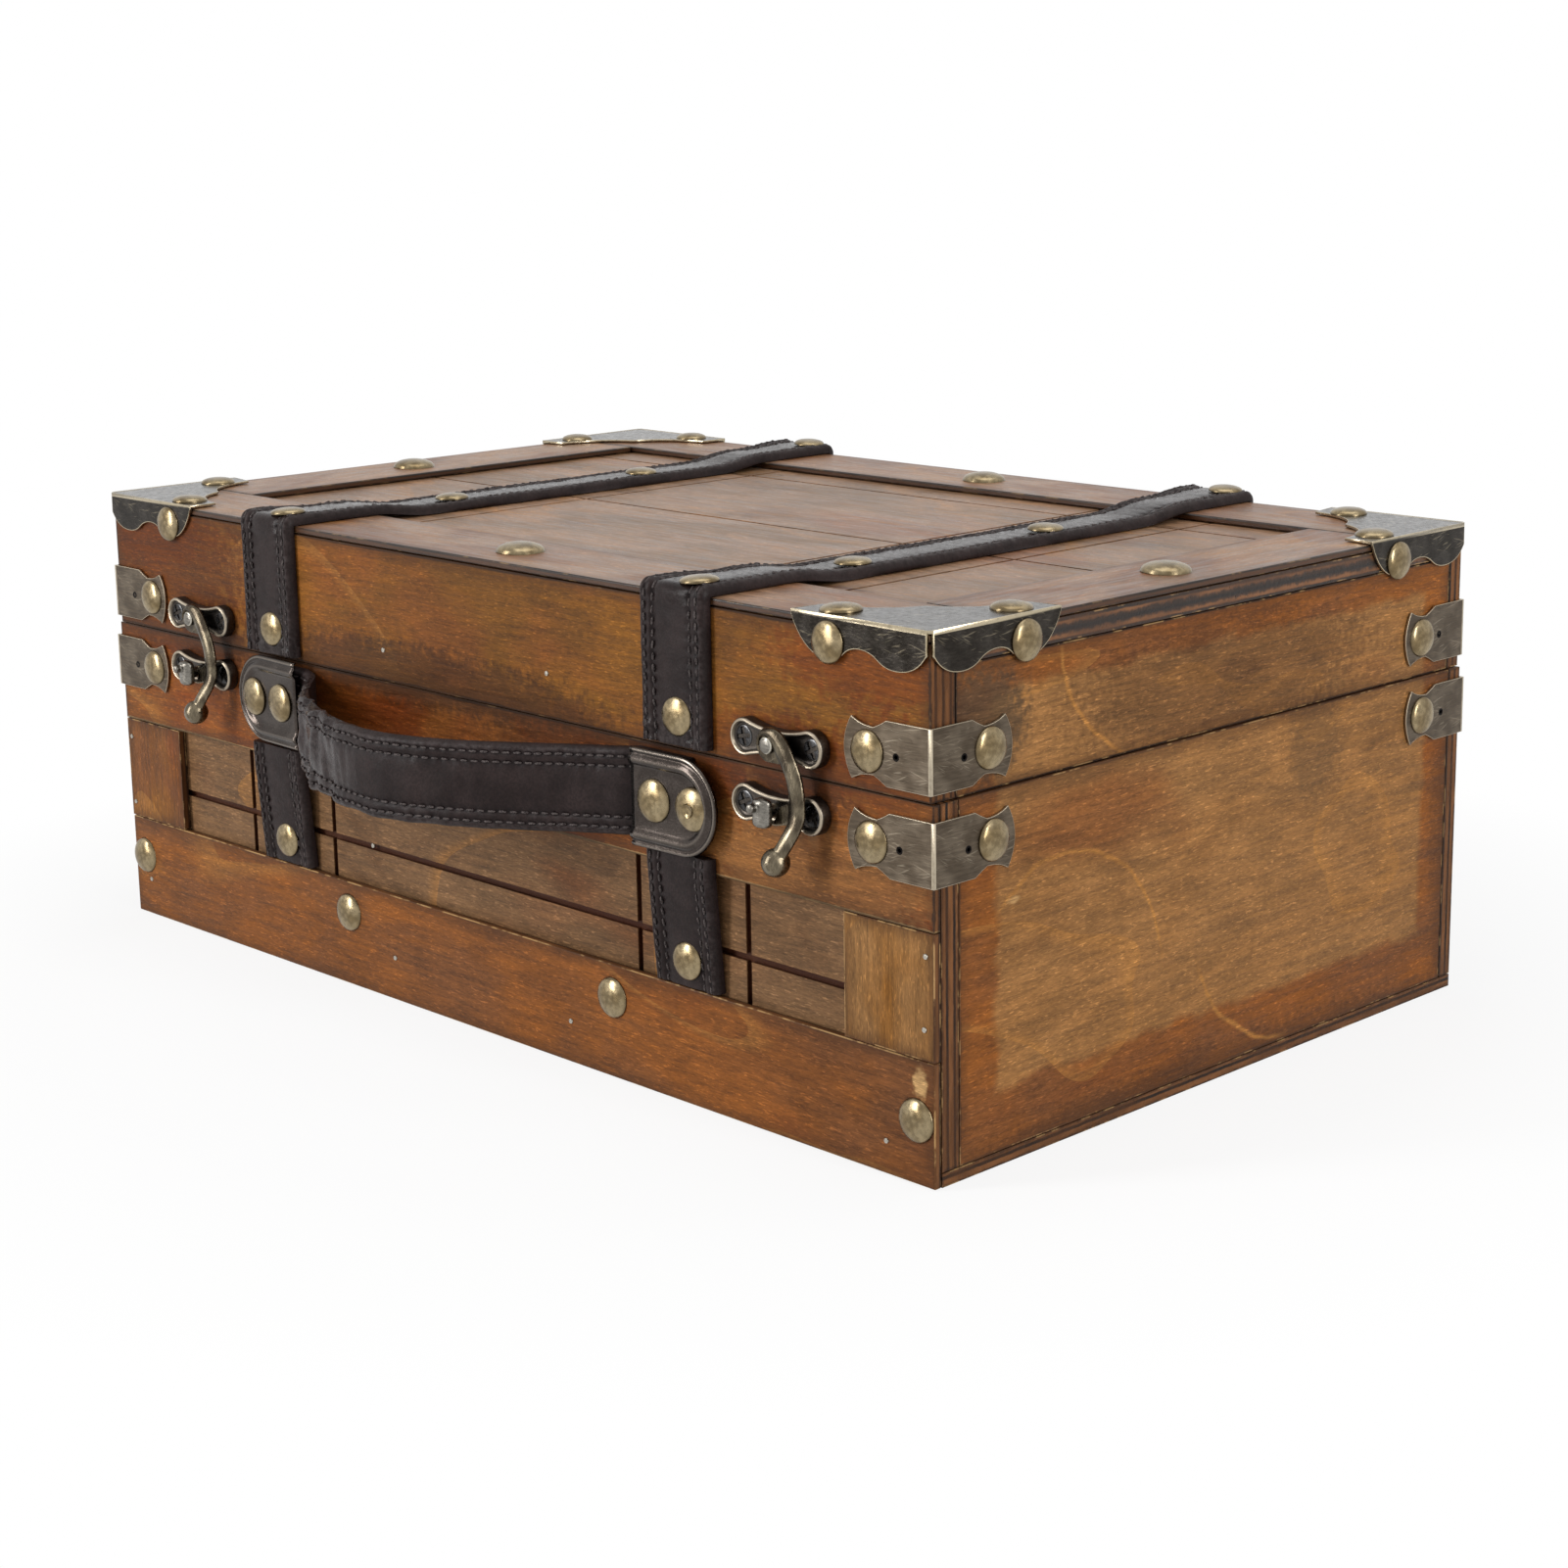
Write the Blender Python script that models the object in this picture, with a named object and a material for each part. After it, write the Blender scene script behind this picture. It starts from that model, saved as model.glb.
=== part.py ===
"""Small wooden trunk with a hinged lid, two hook latches and a leather handle.

Metres, +Z up. The origin is the centre of the underside. +X runs to the right along
the front, and the front faces -Y. "Proud" means the distance out of a board's face.
"""
import math

import bmesh
import bpy
from mathutils import Matrix, Vector

# Clearance between pieces that touch on the real trunk
GAP = 0.0003

# Outer box, without its metalwork
WIDTH = 0.330
DEPTH = 0.204
HEIGHT = 0.126
CASE_HEIGHT = 0.0885
LID_SIDE_INSET = 0.0008

# Boards
BOTTOM_THICKNESS = 0.0033
FRONT_PANEL_THICKNESS = 0.0055
FACING_THICKNESS = 0.0020
LID_FRONT_THICKNESS = 0.0078
BACK_THICKNESS = 0.0050
END_THICKNESS = 0.0080
TOP_PANEL_THICKNESS = 0.0055
FRAME_THICKNESS = 0.0017
FRAME_WIDTH = 0.0283

# Facing on the front of the case
BOTTOM_RAIL_HEIGHT = 0.0295
UPPER_RAIL_HEIGHT = 0.0288
STILE_WIDTH = 0.0280

# Grooves cut into the front panel and the top panel
GROOVE_WIDTH = 0.0018
GROOVE_DEPTH = 0.0012
GROOVE_FROM_STRAP = 0.0195
FRONT_GROOVE_UP = 0.0111
TOP_GROOVE_WIDTH = 0.0012
TOP_GROOVE_DEPTH = 0.0009
TOP_GROOVES_FROM_BACK = (0.042, 0.108)

# Leather
STRAP_FROM_END = 0.0815
STRAP_WIDTH = 0.0228
STRAP_THICKNESS = 0.0028
STRAP_BEND_STEPS = 3
STRAP_RAMP = 0.0180
CASE_STRAP_RAMP = 0.0050
STRAP_ABOVE_SEAM = 0.0015
CASE_STRAP_FOOT = 0.0007
HANDLE_WIDTH = 0.0220
HANDLE_THICKNESS = 0.0022
HANDLE_RISE = 0.0290
HANDLE_SAG = 0.0023
HANDLE_END_INSET = 0.0102
# Bow of the handle from the left plate to the right one: share of half its length, share of its rise
HANDLE_BOW = (
    (-0.90, 0.085), (-0.82, 0.26), (-0.72, 0.48), (-0.55, 0.72), (-0.29, 0.93), (-0.04, 1.00),
    (0.17, 0.90), (0.39, 0.69), (0.62, 0.41), (0.82, 0.19), (0.94, 0.085),
)

# Handle plates
PLATE_LENGTH = 0.0290
PLATE_HEIGHT = 0.0244
PLATE_THICKNESS = 0.0008
PLATE_BEAD_WIDTH = 0.0032
PLATE_BEAD_HEIGHT = 0.0008
PLATE_BELOW_SEAM = 0.0001
RIVET_RADIUS = 0.0045
RIVET_HEIGHT = 0.0025
RIVET_FROM_MIDDLE = 0.0066

# Domed tacks
TACK_RADIUS = 0.0046
TACK_HEIGHT = 0.0024
TACK_SIDES = 10
DOME_ANGLES = (38, 74)
CORNER_TACK_RADIUS = 0.0049
CORNER_TACK_HEIGHT = 0.0026
RAIL_TACK_RADIUS = 0.0052
RAIL_TACK_HEIGHT = 0.0027
RAIL_TACK_FROM_END = 0.0056
RAIL_TACK_FROM_STRAP = 0.0280
RAIL_TACK_HEIGHTS = (0.0180, 0.0208, 0.0209, 0.0152)
FRAME_TACK_RADIUS = 0.0064
FRAME_TACK_HEIGHT = 0.0030
FRAME_TACK_Y = -0.0040
FRAME_TACK_X = 0.0075
STRAP_TACK_SHIFT = 0.0014
STRAP_TOP_TACK_SHIFT = 0.0040
STRAP_TACK_FROM_EDGE = 0.0025
STRAP_TACK_ABOVE_SEAM = 0.0085
STRAP_TACK_ABOVE_FOOT = 0.0066
STRAP_TACK_BEHIND_FRAME = 0.0260
STRAP_TACK_AHEAD_OF_FRAME = 0.0497

# Corner brackets above and below the seam
BRACKET_THICKNESS = 0.0006
BRACKET_HEIGHT = 0.0149
BRACKET_ABOVE_SEAM = 0.0022
BRACKET_BELOW_SEAM = 0.0037
BRACKET_SHOULDER = 0.0128
BRACKET_WAIST_AT = 0.0168
BRACKET_WAIST = 0.0109
BRACKET_EAR_AT = 0.0236
BRACKET_LENGTH = 0.0259
BRACKET_TACK_AT = 0.0187
BRACKET_HOLE_AT = 0.0101
BRACKET_HOLE_RADIUS = 0.0009

# Metal corners on the lid
CORNER_THICKNESS = 0.0007
CORNER_LENGTH = 0.0423
CORNER_SLIT = 0.0005
CORNER_EAR = (0.0413, 0.0085)
CORNER_CUSP = 0.0220
CORNER_HOLLOW = (0.0270, 0.0098)
CORNER_SLIT_DEPTH = 0.0048
CORNER_LOBE_DEPTH = 0.0094
CORNER_LOBE_AT = 0.0095
CORNER_CREST_DEPTH = 0.0059
CORNER_CREST_AT = 0.0210
CORNER_TACK_AT = 0.0305
CORNER_TIP_ROUNDING = 0.0040
CORNER_TACK_DOWN = 0.0055
CORNER_TACK_IN = 0.0056
CORNER_TOP_TACK_AT = 0.0325

# Hook latches
LATCH_FROM_END = 0.0463
PIVOT_ABOVE_SEAM = 0.0073
CATCH_BELOW_SEAM = 0.0081
LATCH_PLATE_THICKNESS = 0.0030
LATCH_RIM_WIDTH = 0.0007
LATCH_DISH_DEPTH = 0.0012
LATCH_LOBE_RADIUS = 0.0045
LATCH_LOBE_FROM_MIDDLE = 0.0105
LATCH_SCREW_FROM_MIDDLE = 0.0111
LATCH_WAIST = 0.0060
PIVOT_RADIUS = 0.0015
PIVOT_HEAD_RADIUS = 0.0026
PIVOT_HEAD_HEIGHT = 0.0013
CATCH_NECK_RADIUS = 0.0016
CATCH_HEAD_WIDTH = 0.0059
CATCH_HEAD_HEIGHT = 0.0075
CATCH_HEAD_THICKNESS = 0.0025
CATCH_STUB_RADIUS = 0.0015
CATCH_STUB_LENGTH = 0.0022
CATCH_STUB_UP = 0.0011
CATCH_STUB_LEFT = 0.0012
HOOK_ABOVE_PLATE = 0.0005
HOOK_EYE_RADIUS = 0.0044
HOOK_WEB_THICKNESS = 0.0015
HOOK_EYE_THICKNESS = 0.0020
HOOK_ARM_WIDTH = 0.0037
HOOK_TAIL_WIDTH = 0.0033
HOOK_ARM_THICKNESS = 0.0024
HOOK_BALL_RADIUS = 0.0034
HOOK_TAIL_LIFT = 0.0034
# Shares of the distance from pivot to catch where the arm starts to lift and where it is fully lifted
HOOK_LIFT_START = 1.10
HOOK_LIFT_END = 1.60
# Middle of the arm from the eye to the ball, in shares of the distance from pivot to catch
HOOK_ARM_PATH = (
    (-0.23, 0.04), (-0.19, 0.17), (-0.08, 0.25), (0.07, 0.19), (0.21, 0.03), (0.40, -0.21),
    (0.52, -0.45), (0.57, -0.71), (0.58, -0.99), (0.57, -1.18), (0.51, -1.38), (0.44, -1.51),
)
HOOK_BALL_AT = (0.34, -1.68)
# Outline of the flat tongue that passes under the catch's head, and of the throat, in the same shares
HOOK_TONGUE = (
    (0.49, -0.60), (0.47, -0.71), (0.38, -0.83), (0.23, -0.90), (0.18, -0.95), (0.16, -1.00),
    (0.14, -1.07), (0.09, -1.14), (-0.02, -1.15), (-0.06, -1.17), (0.02, -1.20), (0.16, -1.20),
    (0.33, -1.16), (0.52, -1.13), (0.58, -0.90),
)
HOOK_THROAT = ((-0.08, -0.26), (0.34, -0.26), (0.45, -0.33), (0.40, -0.21), (0.21, 0.03), (0.0, 0.0))

# Countersunk screws of the latches
SCREW_HEAD_RADIUS = 0.0026
SCREW_SHANK_RADIUS = 0.0011
SCREW_DEPTH = 0.0050
SCREW_CONE = 0.0011
SCREW_DOME = 0.0002

# Butt hinges on the back
HINGE_FROM_END = 0.0457
HINGE_WIDTH = 0.0250
HINGE_LEAF_HEIGHT = 0.0140
HINGE_LEAF_THICKNESS = 0.0010
KNUCKLE_RADIUS = 0.0020
KNUCKLE_COUNT = 5
TONGUE_INSET = 0.0002
PIN_RADIUS = 0.0010
PIN_HEAD_RADIUS = 0.0015
PIN_HEAD_THICKNESS = 0.0006

# How deep a fused dome or post reaches into the piece that carries it
SINK = 0.0003

# Sides of the small turned pieces, and the angle in degrees above which an edge stays sharp
ROUND_SIDES = 12
POST_SIDES = 10
HOLE_SIDES = 8
EYE_SIDES = 16
BALL_RINGS = 6
SHARP_ANGLE = 35

# Places worked out from the sizes above
RIGHT = WIDTH / 2
FRONT = -DEPTH / 2
BACK = DEPTH / 2
LID_RIGHT = RIGHT - LID_SIDE_INSET
FRONT_PANEL_FACE = FRONT + FACING_THICKNESS + GAP
FRONT_PANEL_INSIDE = FRONT_PANEL_FACE + FRONT_PANEL_THICKNESS
LID_FRONT_INSIDE = FRONT + LID_FRONT_THICKNESS
BACK_INSIDE = BACK - BACK_THICKNESS
CASE_FLOOR = BOTTOM_THICKNESS + GAP
WINDOW_TOP = CASE_HEIGHT - UPPER_RAIL_HEIGHT
LID_BOTTOM = CASE_HEIGHT + GAP
PANEL_TOP = HEIGHT - FRAME_THICKNESS - GAP
PANEL_BOTTOM = PANEL_TOP - TOP_PANEL_THICKNESS
STRAP_X = RIGHT - STRAP_FROM_END
LATCH_X = RIGHT - LATCH_FROM_END
PIVOT_Z = CASE_HEIGHT + PIVOT_ABOVE_SEAM
CATCH_Z = CASE_HEIGHT - CATCH_BELOW_SEAM
HOOK_REACH = PIVOT_Z - CATCH_Z
PLATE_Z = CASE_HEIGHT - PLATE_BELOW_SEAM - PLATE_HEIGHT / 2
PLATE_BASE = GAP + HANDLE_THICKNESS + GAP
LATCH_FACE = GAP + LATCH_PLATE_THICKNESS
LATCH_FLOOR = LATCH_FACE - LATCH_DISH_DEPTH
HOOK_BASE = LATCH_FACE + HOOK_ABOVE_PLATE
HINGE_X = RIGHT - HINGE_FROM_END
HINGE_AXIS_Y = BACK + GAP + KNUCKLE_RADIUS
HINGE_AXIS_Z = CASE_HEIGHT + GAP / 2
SIDES = (("left", -1), ("right", 1))

# Turns about Z that carry a piece made for one side of the trunk to the others
FACE_TURNS = {"front": 0.0, "right": math.pi / 2, "back": math.pi, "left": -math.pi / 2}
CORNER_TURNS = {
    "front_right": 0.0, "back_right": math.pi / 2, "back_left": math.pi, "front_left": -math.pi / 2,
}


# Scene and materials

def clear_scene():
    """Remove whatever the scene holds."""
    for item in list(bpy.data.objects):
        bpy.data.objects.remove(item, do_unlink=True)


def make_material(name, colour, roughness, metallic):
    """One Principled material."""
    material = bpy.data.materials.new(name)
    material.use_nodes = True
    shader = material.node_tree.nodes["Principled BSDF"]
    shader.inputs["Base Color"].default_value = (*colour, 1.0)
    shader.inputs["Roughness"].default_value = roughness
    shader.inputs["Metallic"].default_value = metallic
    return material


def make_joint_empty(name, place, parent=None):
    """An empty on a joint's axis, which carries the pieces that move about it."""
    empty = bpy.data.objects.new(name, None)
    empty.empty_display_size = 0.01
    empty.location = Vector(place) - (parent.location if parent else Vector())
    empty.parent = parent
    bpy.context.collection.objects.link(empty)
    return empty


def world_place(item):
    """Where an unturned empty stands, its parents included."""
    place = Vector()
    while item:
        place += item.location
        item = item.parent
    return place


# Outlines

def arc(centre, radius, start, end, steps):
    """Points on a circle from one angle to another, in degrees."""
    points = []
    for k in range(steps + 1):
        angle = math.radians(start + (end - start) * k / steps)
        points.append((centre[0] + radius * math.cos(angle), centre[1] + radius * math.sin(angle)))
    return points


def bend(start, pull, end, steps=4):
    """Points on a quadratic curve after its start, up to its end."""
    points = []
    for k in range(1, steps + 1):
        t = k / steps
        points.append(tuple(
            (1 - t) ** 2 * a + 2 * t * (1 - t) * b + t ** 2 * c for a, b, c in zip(start, pull, end)))
    return points


def smooth_path(points, steps):
    """A curve through all the points, with more points between them."""
    path = []
    padded = [points[0], *points, points[-1]]
    for before, start, end, after in zip(padded, padded[1:], padded[2:], padded[3:]):
        for k in range(steps):
            t = k / steps
            path.append(0.5 * (
                2 * start + (end - before) * t + (2 * before - 5 * start + 4 * end - after) * t ** 2
                + (3 * start - before - 3 * end + after) * t ** 3))
    path.append(points[-1])
    return path


# Shapes added to a bmesh

def add_box(shape, low, high):
    """A box between two corners."""
    low = Vector(low)
    high = Vector(high)
    size = Matrix.Diagonal((*(high - low), 1.0))
    bmesh.ops.create_cube(shape, size=1.0, matrix=Matrix.Translation((low + high) / 2) @ size)


def add_prism(shape, outline, low, high):
    """An outline in x and y, extruded from low to high along z."""
    bottom = [shape.verts.new((x, y, low)) for x, y in outline]
    top = [shape.verts.new((x, y, high)) for x, y in outline]
    shape.faces.new(reversed(bottom))
    shape.faces.new(top)
    for k, corner in enumerate(bottom):
        shape.faces.new((bottom[k - 1], corner, top[k], top[k - 1]))


def add_turned(shape, profile, sides, frame=Matrix()):
    """A turned solid about the frame's z. The profile gives radius and height from the bottom up."""
    rings = []
    for radius, height in profile:
        ring = arc((0, 0), radius, 0, 360 - 360 / sides, sides - 1)
        rings.append([shape.verts.new(frame @ Vector((x, y, height))) for x, y in ring])
    shape.faces.new(reversed(rings[0]))
    shape.faces.new(rings[-1])
    for lower, upper in zip(rings, rings[1:]):
        for k in range(sides):
            shape.faces.new((lower[k - 1], lower[k], upper[k], upper[k - 1]))


def add_dome(shape, radius, height, frame, sides=TACK_SIDES):
    """A tack's domed head, standing on the frame's origin along its z."""
    profile = [(radius, -SINK)]
    for angle in DOME_ANGLES:
        turn = math.radians(angle)
        profile.append((radius * math.cos(turn), height * math.sin(turn)))
    add_turned(shape, profile, sides, frame)


def add_sheet(shape, outline, across, up):
    """A flat face with its outline in two directions from the shape's origin."""
    shape.faces.new([shape.verts.new(across * x + up * y) for x, y in outline])


def add_swept(shape, path, half_widths, lows, highs, arch=3):
    """A bar along a path in x and y, flat below and arched above."""
    rings = []
    for k, point in enumerate(path):
        ahead = path[min(k + 1, len(path) - 1)] - path[max(k - 1, 0)]
        side = Vector((-ahead.y, ahead.x)).normalized()
        shoulder = lows[k] + 0.4 * (highs[k] - lows[k])
        outline = [(half_widths[k], lows[k])]
        for step in range(arch + 1):
            turn = math.pi * step / arch
            height = shoulder + (highs[k] - shoulder) * math.sin(turn)
            outline.append((half_widths[k] * math.cos(turn), height))
        outline.append((-half_widths[k], lows[k]))
        rings.append([shape.verts.new((*(point + side * across), height)) for across, height in outline])
    shape.faces.new(rings[0])
    shape.faces.new(reversed(rings[-1]))
    count = len(rings[0])
    for lower, upper in zip(rings, rings[1:]):
        for k in range(count):
            shape.faces.new((lower[k - 1], lower[k], upper[k], upper[k - 1]))


def ribbon(path, across):
    """An open strip of faces along a path, as wide as the across vector."""
    shape = bmesh.new()
    rows = []
    for point in path:
        rows.append((shape.verts.new(point - across / 2), shape.verts.new(point + across / 2)))
    for lower, upper in zip(rows, rows[1:]):
        shape.faces.new((lower[0], lower[1], upper[1], upper[0]))
    return shape


def filled(adder, *values):
    """A new bmesh with one shape in it."""
    shape = bmesh.new()
    adder(shape, *values)
    return shape


# From bmesh to finished objects

def helper_object(shape, closed):
    """A short-lived object that holds a bmesh while modifiers are worked out."""
    if closed:
        bmesh.ops.recalc_face_normals(shape, faces=shape.faces)
    mesh = bpy.data.meshes.new("helper")
    shape.to_mesh(mesh)
    shape.free()
    helper = bpy.data.objects.new("helper", mesh)
    bpy.context.collection.objects.link(helper)
    return helper


def finished_mesh(name, shape, fused=(), removed=(), thickness=0.0, side=0.0):
    """The mesh of a shape after it is thickened, joined to some shapes and cut by others."""
    body = helper_object(shape, closed=not thickness)
    tools = []
    if thickness:
        thicken = body.modifiers.new("thickness", "SOLIDIFY")
        thicken.thickness = thickness
        thicken.offset = side
        thicken.use_even_offset = True
    for operation, others in (("UNION", fused), ("DIFFERENCE", removed)):
        for other in others:
            tool = helper_object(other, closed=True)
            tools.append(tool)
            boolean = body.modifiers.new(operation.lower(), "BOOLEAN")
            boolean.operation = operation
            boolean.solver = "EXACT"
            boolean.object = tool
    view = bpy.context.evaluated_depsgraph_get()
    mesh = bpy.data.meshes.new_from_object(body.evaluated_get(view))
    mesh.name = name
    for helper in [body, *tools]:
        old = helper.data
        bpy.data.objects.remove(helper, do_unlink=True)
        bpy.data.meshes.remove(old)
    mesh.shade_smooth()
    mesh.set_sharp_from_angle(angle=math.radians(SHARP_ANGLE))
    return mesh


def place(name, mesh, material, parent, at, turn=Matrix()):
    """One named piece, at a place in the world, under the empty that moves it."""
    if material.name not in mesh.materials:
        mesh.materials.append(material)
    piece = bpy.data.objects.new(name, mesh)
    piece.parent = parent
    piece.location = Vector(at) - world_place(parent)
    piece.rotation_euler = turn.to_euler()
    bpy.context.collection.objects.link(piece)
    return piece


def place_around(name, material, parent, at, shape, fused=(), removed=()):
    """A piece drawn in world places, with its origin moved to the given place."""
    for part in (shape, *fused, *removed):
        bmesh.ops.translate(part, verts=part.verts, vec=-Vector(at))
    return place(name, finished_mesh(name, shape, fused, removed), material, parent, at)


def board(name, material, parent, low, high, fused=(), removed=()):
    """A wooden board between two corners."""
    middle = (Vector(low) + Vector(high)) / 2
    return place_around(name, material, parent, middle, filled(add_box, low, high), fused, removed)


def face_turn(face):
    """Turns a fitting drawn with x right, y up and z outward onto a face of the trunk."""
    return Matrix.Rotation(FACE_TURNS[face], 4, "Z") @ Matrix.Rotation(math.pi / 2, 4, "X")


def face_frame(face, place_on_face):
    """The frame of a fitting that stands on a face at a world place."""
    return Matrix.Translation(place_on_face) @ face_turn(face)


# Wooden pieces of the case

def front_grooves():
    """Cutters for the grooves that show in the window of the front panel."""
    face = FRONT_PANEL_FACE - GROOVE_DEPTH
    floor = FRONT_PANEL_FACE + GROOVE_DEPTH
    half = GROOVE_WIDTH / 2
    across_z = BOTTOM_RAIL_HEIGHT + FRONT_GROOVE_UP
    reach = RIGHT - STILE_WIDTH / 2
    across = filled(add_box, (-reach, face, across_z - half), (reach, floor, across_z + half))
    upright = bmesh.new()
    for side in (-1, 1):
        for shift in (-GROOVE_FROM_STRAP, GROOVE_FROM_STRAP):
            x = side * STRAP_X + shift
            low = (x - half, face, BOTTOM_RAIL_HEIGHT - STRAP_WIDTH / 4)
            high = (x + half, floor, WINDOW_TOP + STRAP_WIDTH / 4)
            add_box(upright, low, high)
    return [across, upright]


def screw_pockets(height, depth):
    """Cutters for the shanks of a row of latch screws."""
    pockets = bmesh.new()
    for side in (-1, 1):
        for shift in (-LATCH_SCREW_FROM_MIDDLE, LATCH_SCREW_FROM_MIDDLE):
            frame = face_frame("front", (side * LATCH_X + shift, FRONT, height))
            radius = SCREW_SHANK_RADIUS + GAP
            add_turned(pockets, [(radius, -depth), (radius, LATCH_PLATE_THICKNESS)], HOLE_SIDES, frame)
    return pockets


def make_case_boards(wood, case):
    """Bottom, front, back and end panels."""
    panel_depth = FACING_THICKNESS + GAP + FRONT_PANEL_THICKNESS
    board("bottom_panel", wood, case, (-RIGHT, FRONT_PANEL_FACE, 0), (RIGHT, BACK, BOTTOM_THICKNESS))
    low = (-RIGHT, FRONT_PANEL_FACE, CASE_FLOOR)
    high = (RIGHT, FRONT_PANEL_INSIDE, CASE_HEIGHT)
    cuts = front_grooves() + [screw_pockets(CATCH_Z, min(SCREW_DEPTH + GAP, panel_depth + GAP))]
    board("front_panel", wood, case, low, high, removed=cuts)
    board("back_panel", wood, case, (-RIGHT, BACK_INSIDE, CASE_FLOOR), (RIGHT, BACK, CASE_HEIGHT))
    for name, side in SIDES:
        inner = side * (RIGHT - END_THICKNESS)
        low = (min(inner, side * RIGHT), FRONT_PANEL_INSIDE + GAP, CASE_FLOOR)
        high = (max(inner, side * RIGHT), BACK_INSIDE - GAP, CASE_HEIGHT)
        board(name + "_end_panel", wood, case, low, high)


def rail_tacks():
    """The four tacks along the bottom rail."""
    tacks = bmesh.new()
    ends = RIGHT - RAIL_TACK_FROM_END
    inner = STRAP_X - RAIL_TACK_FROM_STRAP
    for x, z in zip((-ends, -inner, inner, ends), RAIL_TACK_HEIGHTS):
        add_dome(tacks, RAIL_TACK_RADIUS, RAIL_TACK_HEIGHT, face_frame("front", (x, FRONT, z)))
    return tacks


def make_facing(wood, case):
    """Thin rails and stiles on the front of the case."""
    inside = FRONT + FACING_THICKNESS
    low = (-RIGHT, FRONT, WINDOW_TOP)
    high = (RIGHT, inside, CASE_HEIGHT)
    pockets = screw_pockets(CATCH_Z, FACING_THICKNESS + GAP)
    board("front_upper_rail", wood, case, low, high, removed=[pockets])
    high = (RIGHT, inside, BOTTOM_RAIL_HEIGHT)
    board("front_bottom_rail", wood, case, (-RIGHT, FRONT, 0), high, fused=[rail_tacks()])
    for name, side in SIDES:
        inner = side * (RIGHT - STILE_WIDTH)
        low = (min(inner, side * RIGHT), FRONT, BOTTOM_RAIL_HEIGHT + GAP)
        high = (max(inner, side * RIGHT), inside, WINDOW_TOP - GAP)
        board("front_" + name + "_stile", wood, case, low, high)


# Wooden pieces of the lid

def top_grooves():
    """Cutters for the grooves of the top panel, which end under the frame."""
    half = TOP_GROOVE_WIDTH / 2
    floor = PANEL_TOP - TOP_GROOVE_DEPTH
    above = PANEL_TOP + TOP_GROOVE_DEPTH
    reach_x = LID_RIGHT - FRAME_WIDTH / 2
    reach_y = BACK - FRAME_WIDTH / 2
    across = bmesh.new()
    for distance in TOP_GROOVES_FROM_BACK:
        y = BACK - distance
        add_box(across, (-reach_x, y - half, floor), (reach_x, y + half, above))
    along = bmesh.new()
    for side in (-1, 1):
        for shift in (-GROOVE_FROM_STRAP, GROOVE_FROM_STRAP):
            x = side * STRAP_X + shift
            add_box(along, (x - half, -reach_y, floor), (x + half, reach_y, above))
    return [across, along]


def make_lid_boards(wood, lid):
    """Front, back and end boards of the lid and its top panel."""
    low = (-LID_RIGHT, FRONT, LID_BOTTOM)
    high = (LID_RIGHT, LID_FRONT_INSIDE, PANEL_TOP)
    board("lid_front_board", wood, lid, low, high, removed=[screw_pockets(PIVOT_Z, SCREW_DEPTH + GAP)])
    board("lid_back_board", wood, lid, (-LID_RIGHT, BACK_INSIDE, LID_BOTTOM), (LID_RIGHT, BACK, PANEL_TOP))
    for name, side in SIDES:
        inner = side * (LID_RIGHT - END_THICKNESS)
        low = (min(inner, side * LID_RIGHT), LID_FRONT_INSIDE + GAP, LID_BOTTOM)
        high = (max(inner, side * LID_RIGHT), BACK_INSIDE - GAP, PANEL_BOTTOM - GAP)
        board("lid_" + name + "_end_board", wood, lid, low, high)
    low = (-LID_RIGHT, LID_FRONT_INSIDE + GAP, PANEL_BOTTOM)
    high = (LID_RIGHT, BACK_INSIDE - GAP, PANEL_TOP)
    board("lid_top_panel", wood, lid, low, high, removed=top_grooves())


def frame_tack(x, y):
    """A large tack on the top of the frame."""
    return filled(add_dome, FRAME_TACK_RADIUS, FRAME_TACK_HEIGHT, Matrix.Translation((x, y, HEIGHT)))


def make_lid_frame(wood, lid):
    """Four raised members round the top, each with one tack."""
    bottom = HEIGHT - FRAME_THICKNESS
    middle = FRAME_WIDTH / 2
    for name, side in (("front", -1), ("back", 1)):
        edge = side * BACK
        inner = edge - side * FRAME_WIDTH
        tack = frame_tack(FRAME_TACK_X, edge - side * middle)
        low = (-LID_RIGHT, min(edge, inner), bottom)
        high = (LID_RIGHT, max(edge, inner), HEIGHT)
        board("lid_frame_" + name, wood, lid, low, high, fused=[tack])
    reach = BACK - FRAME_WIDTH - GAP
    for name, side in SIDES:
        edge = side * LID_RIGHT
        inner = edge - side * FRAME_WIDTH
        tack = frame_tack(edge - side * middle, FRAME_TACK_Y)
        low = (min(edge, inner), -reach, bottom)
        high = (max(edge, inner), reach, HEIGHT)
        board("lid_frame_" + name, wood, lid, low, high, fused=[tack])


# Leather straps and handle

def make_strap(name, leather, parent, path, centre, tacks):
    """A strap along a path in y and z, thickened away from the wood, with its tacks."""
    at = Vector((centre, path[0][0], path[0][1]))
    strip = ribbon([Vector((centre, y, z)) - at for y, z in path], Vector((STRAP_WIDTH, 0, 0)))
    heads = bmesh.new()
    for frame in tacks:
        add_dome(heads, TACK_RADIUS, TACK_HEIGHT, Matrix.Translation(-at) @ frame)
    mesh = finished_mesh(name, strip, fused=[heads], thickness=STRAP_THICKNESS, side=1.0)
    return place(name, mesh, leather, parent, at)


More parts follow.
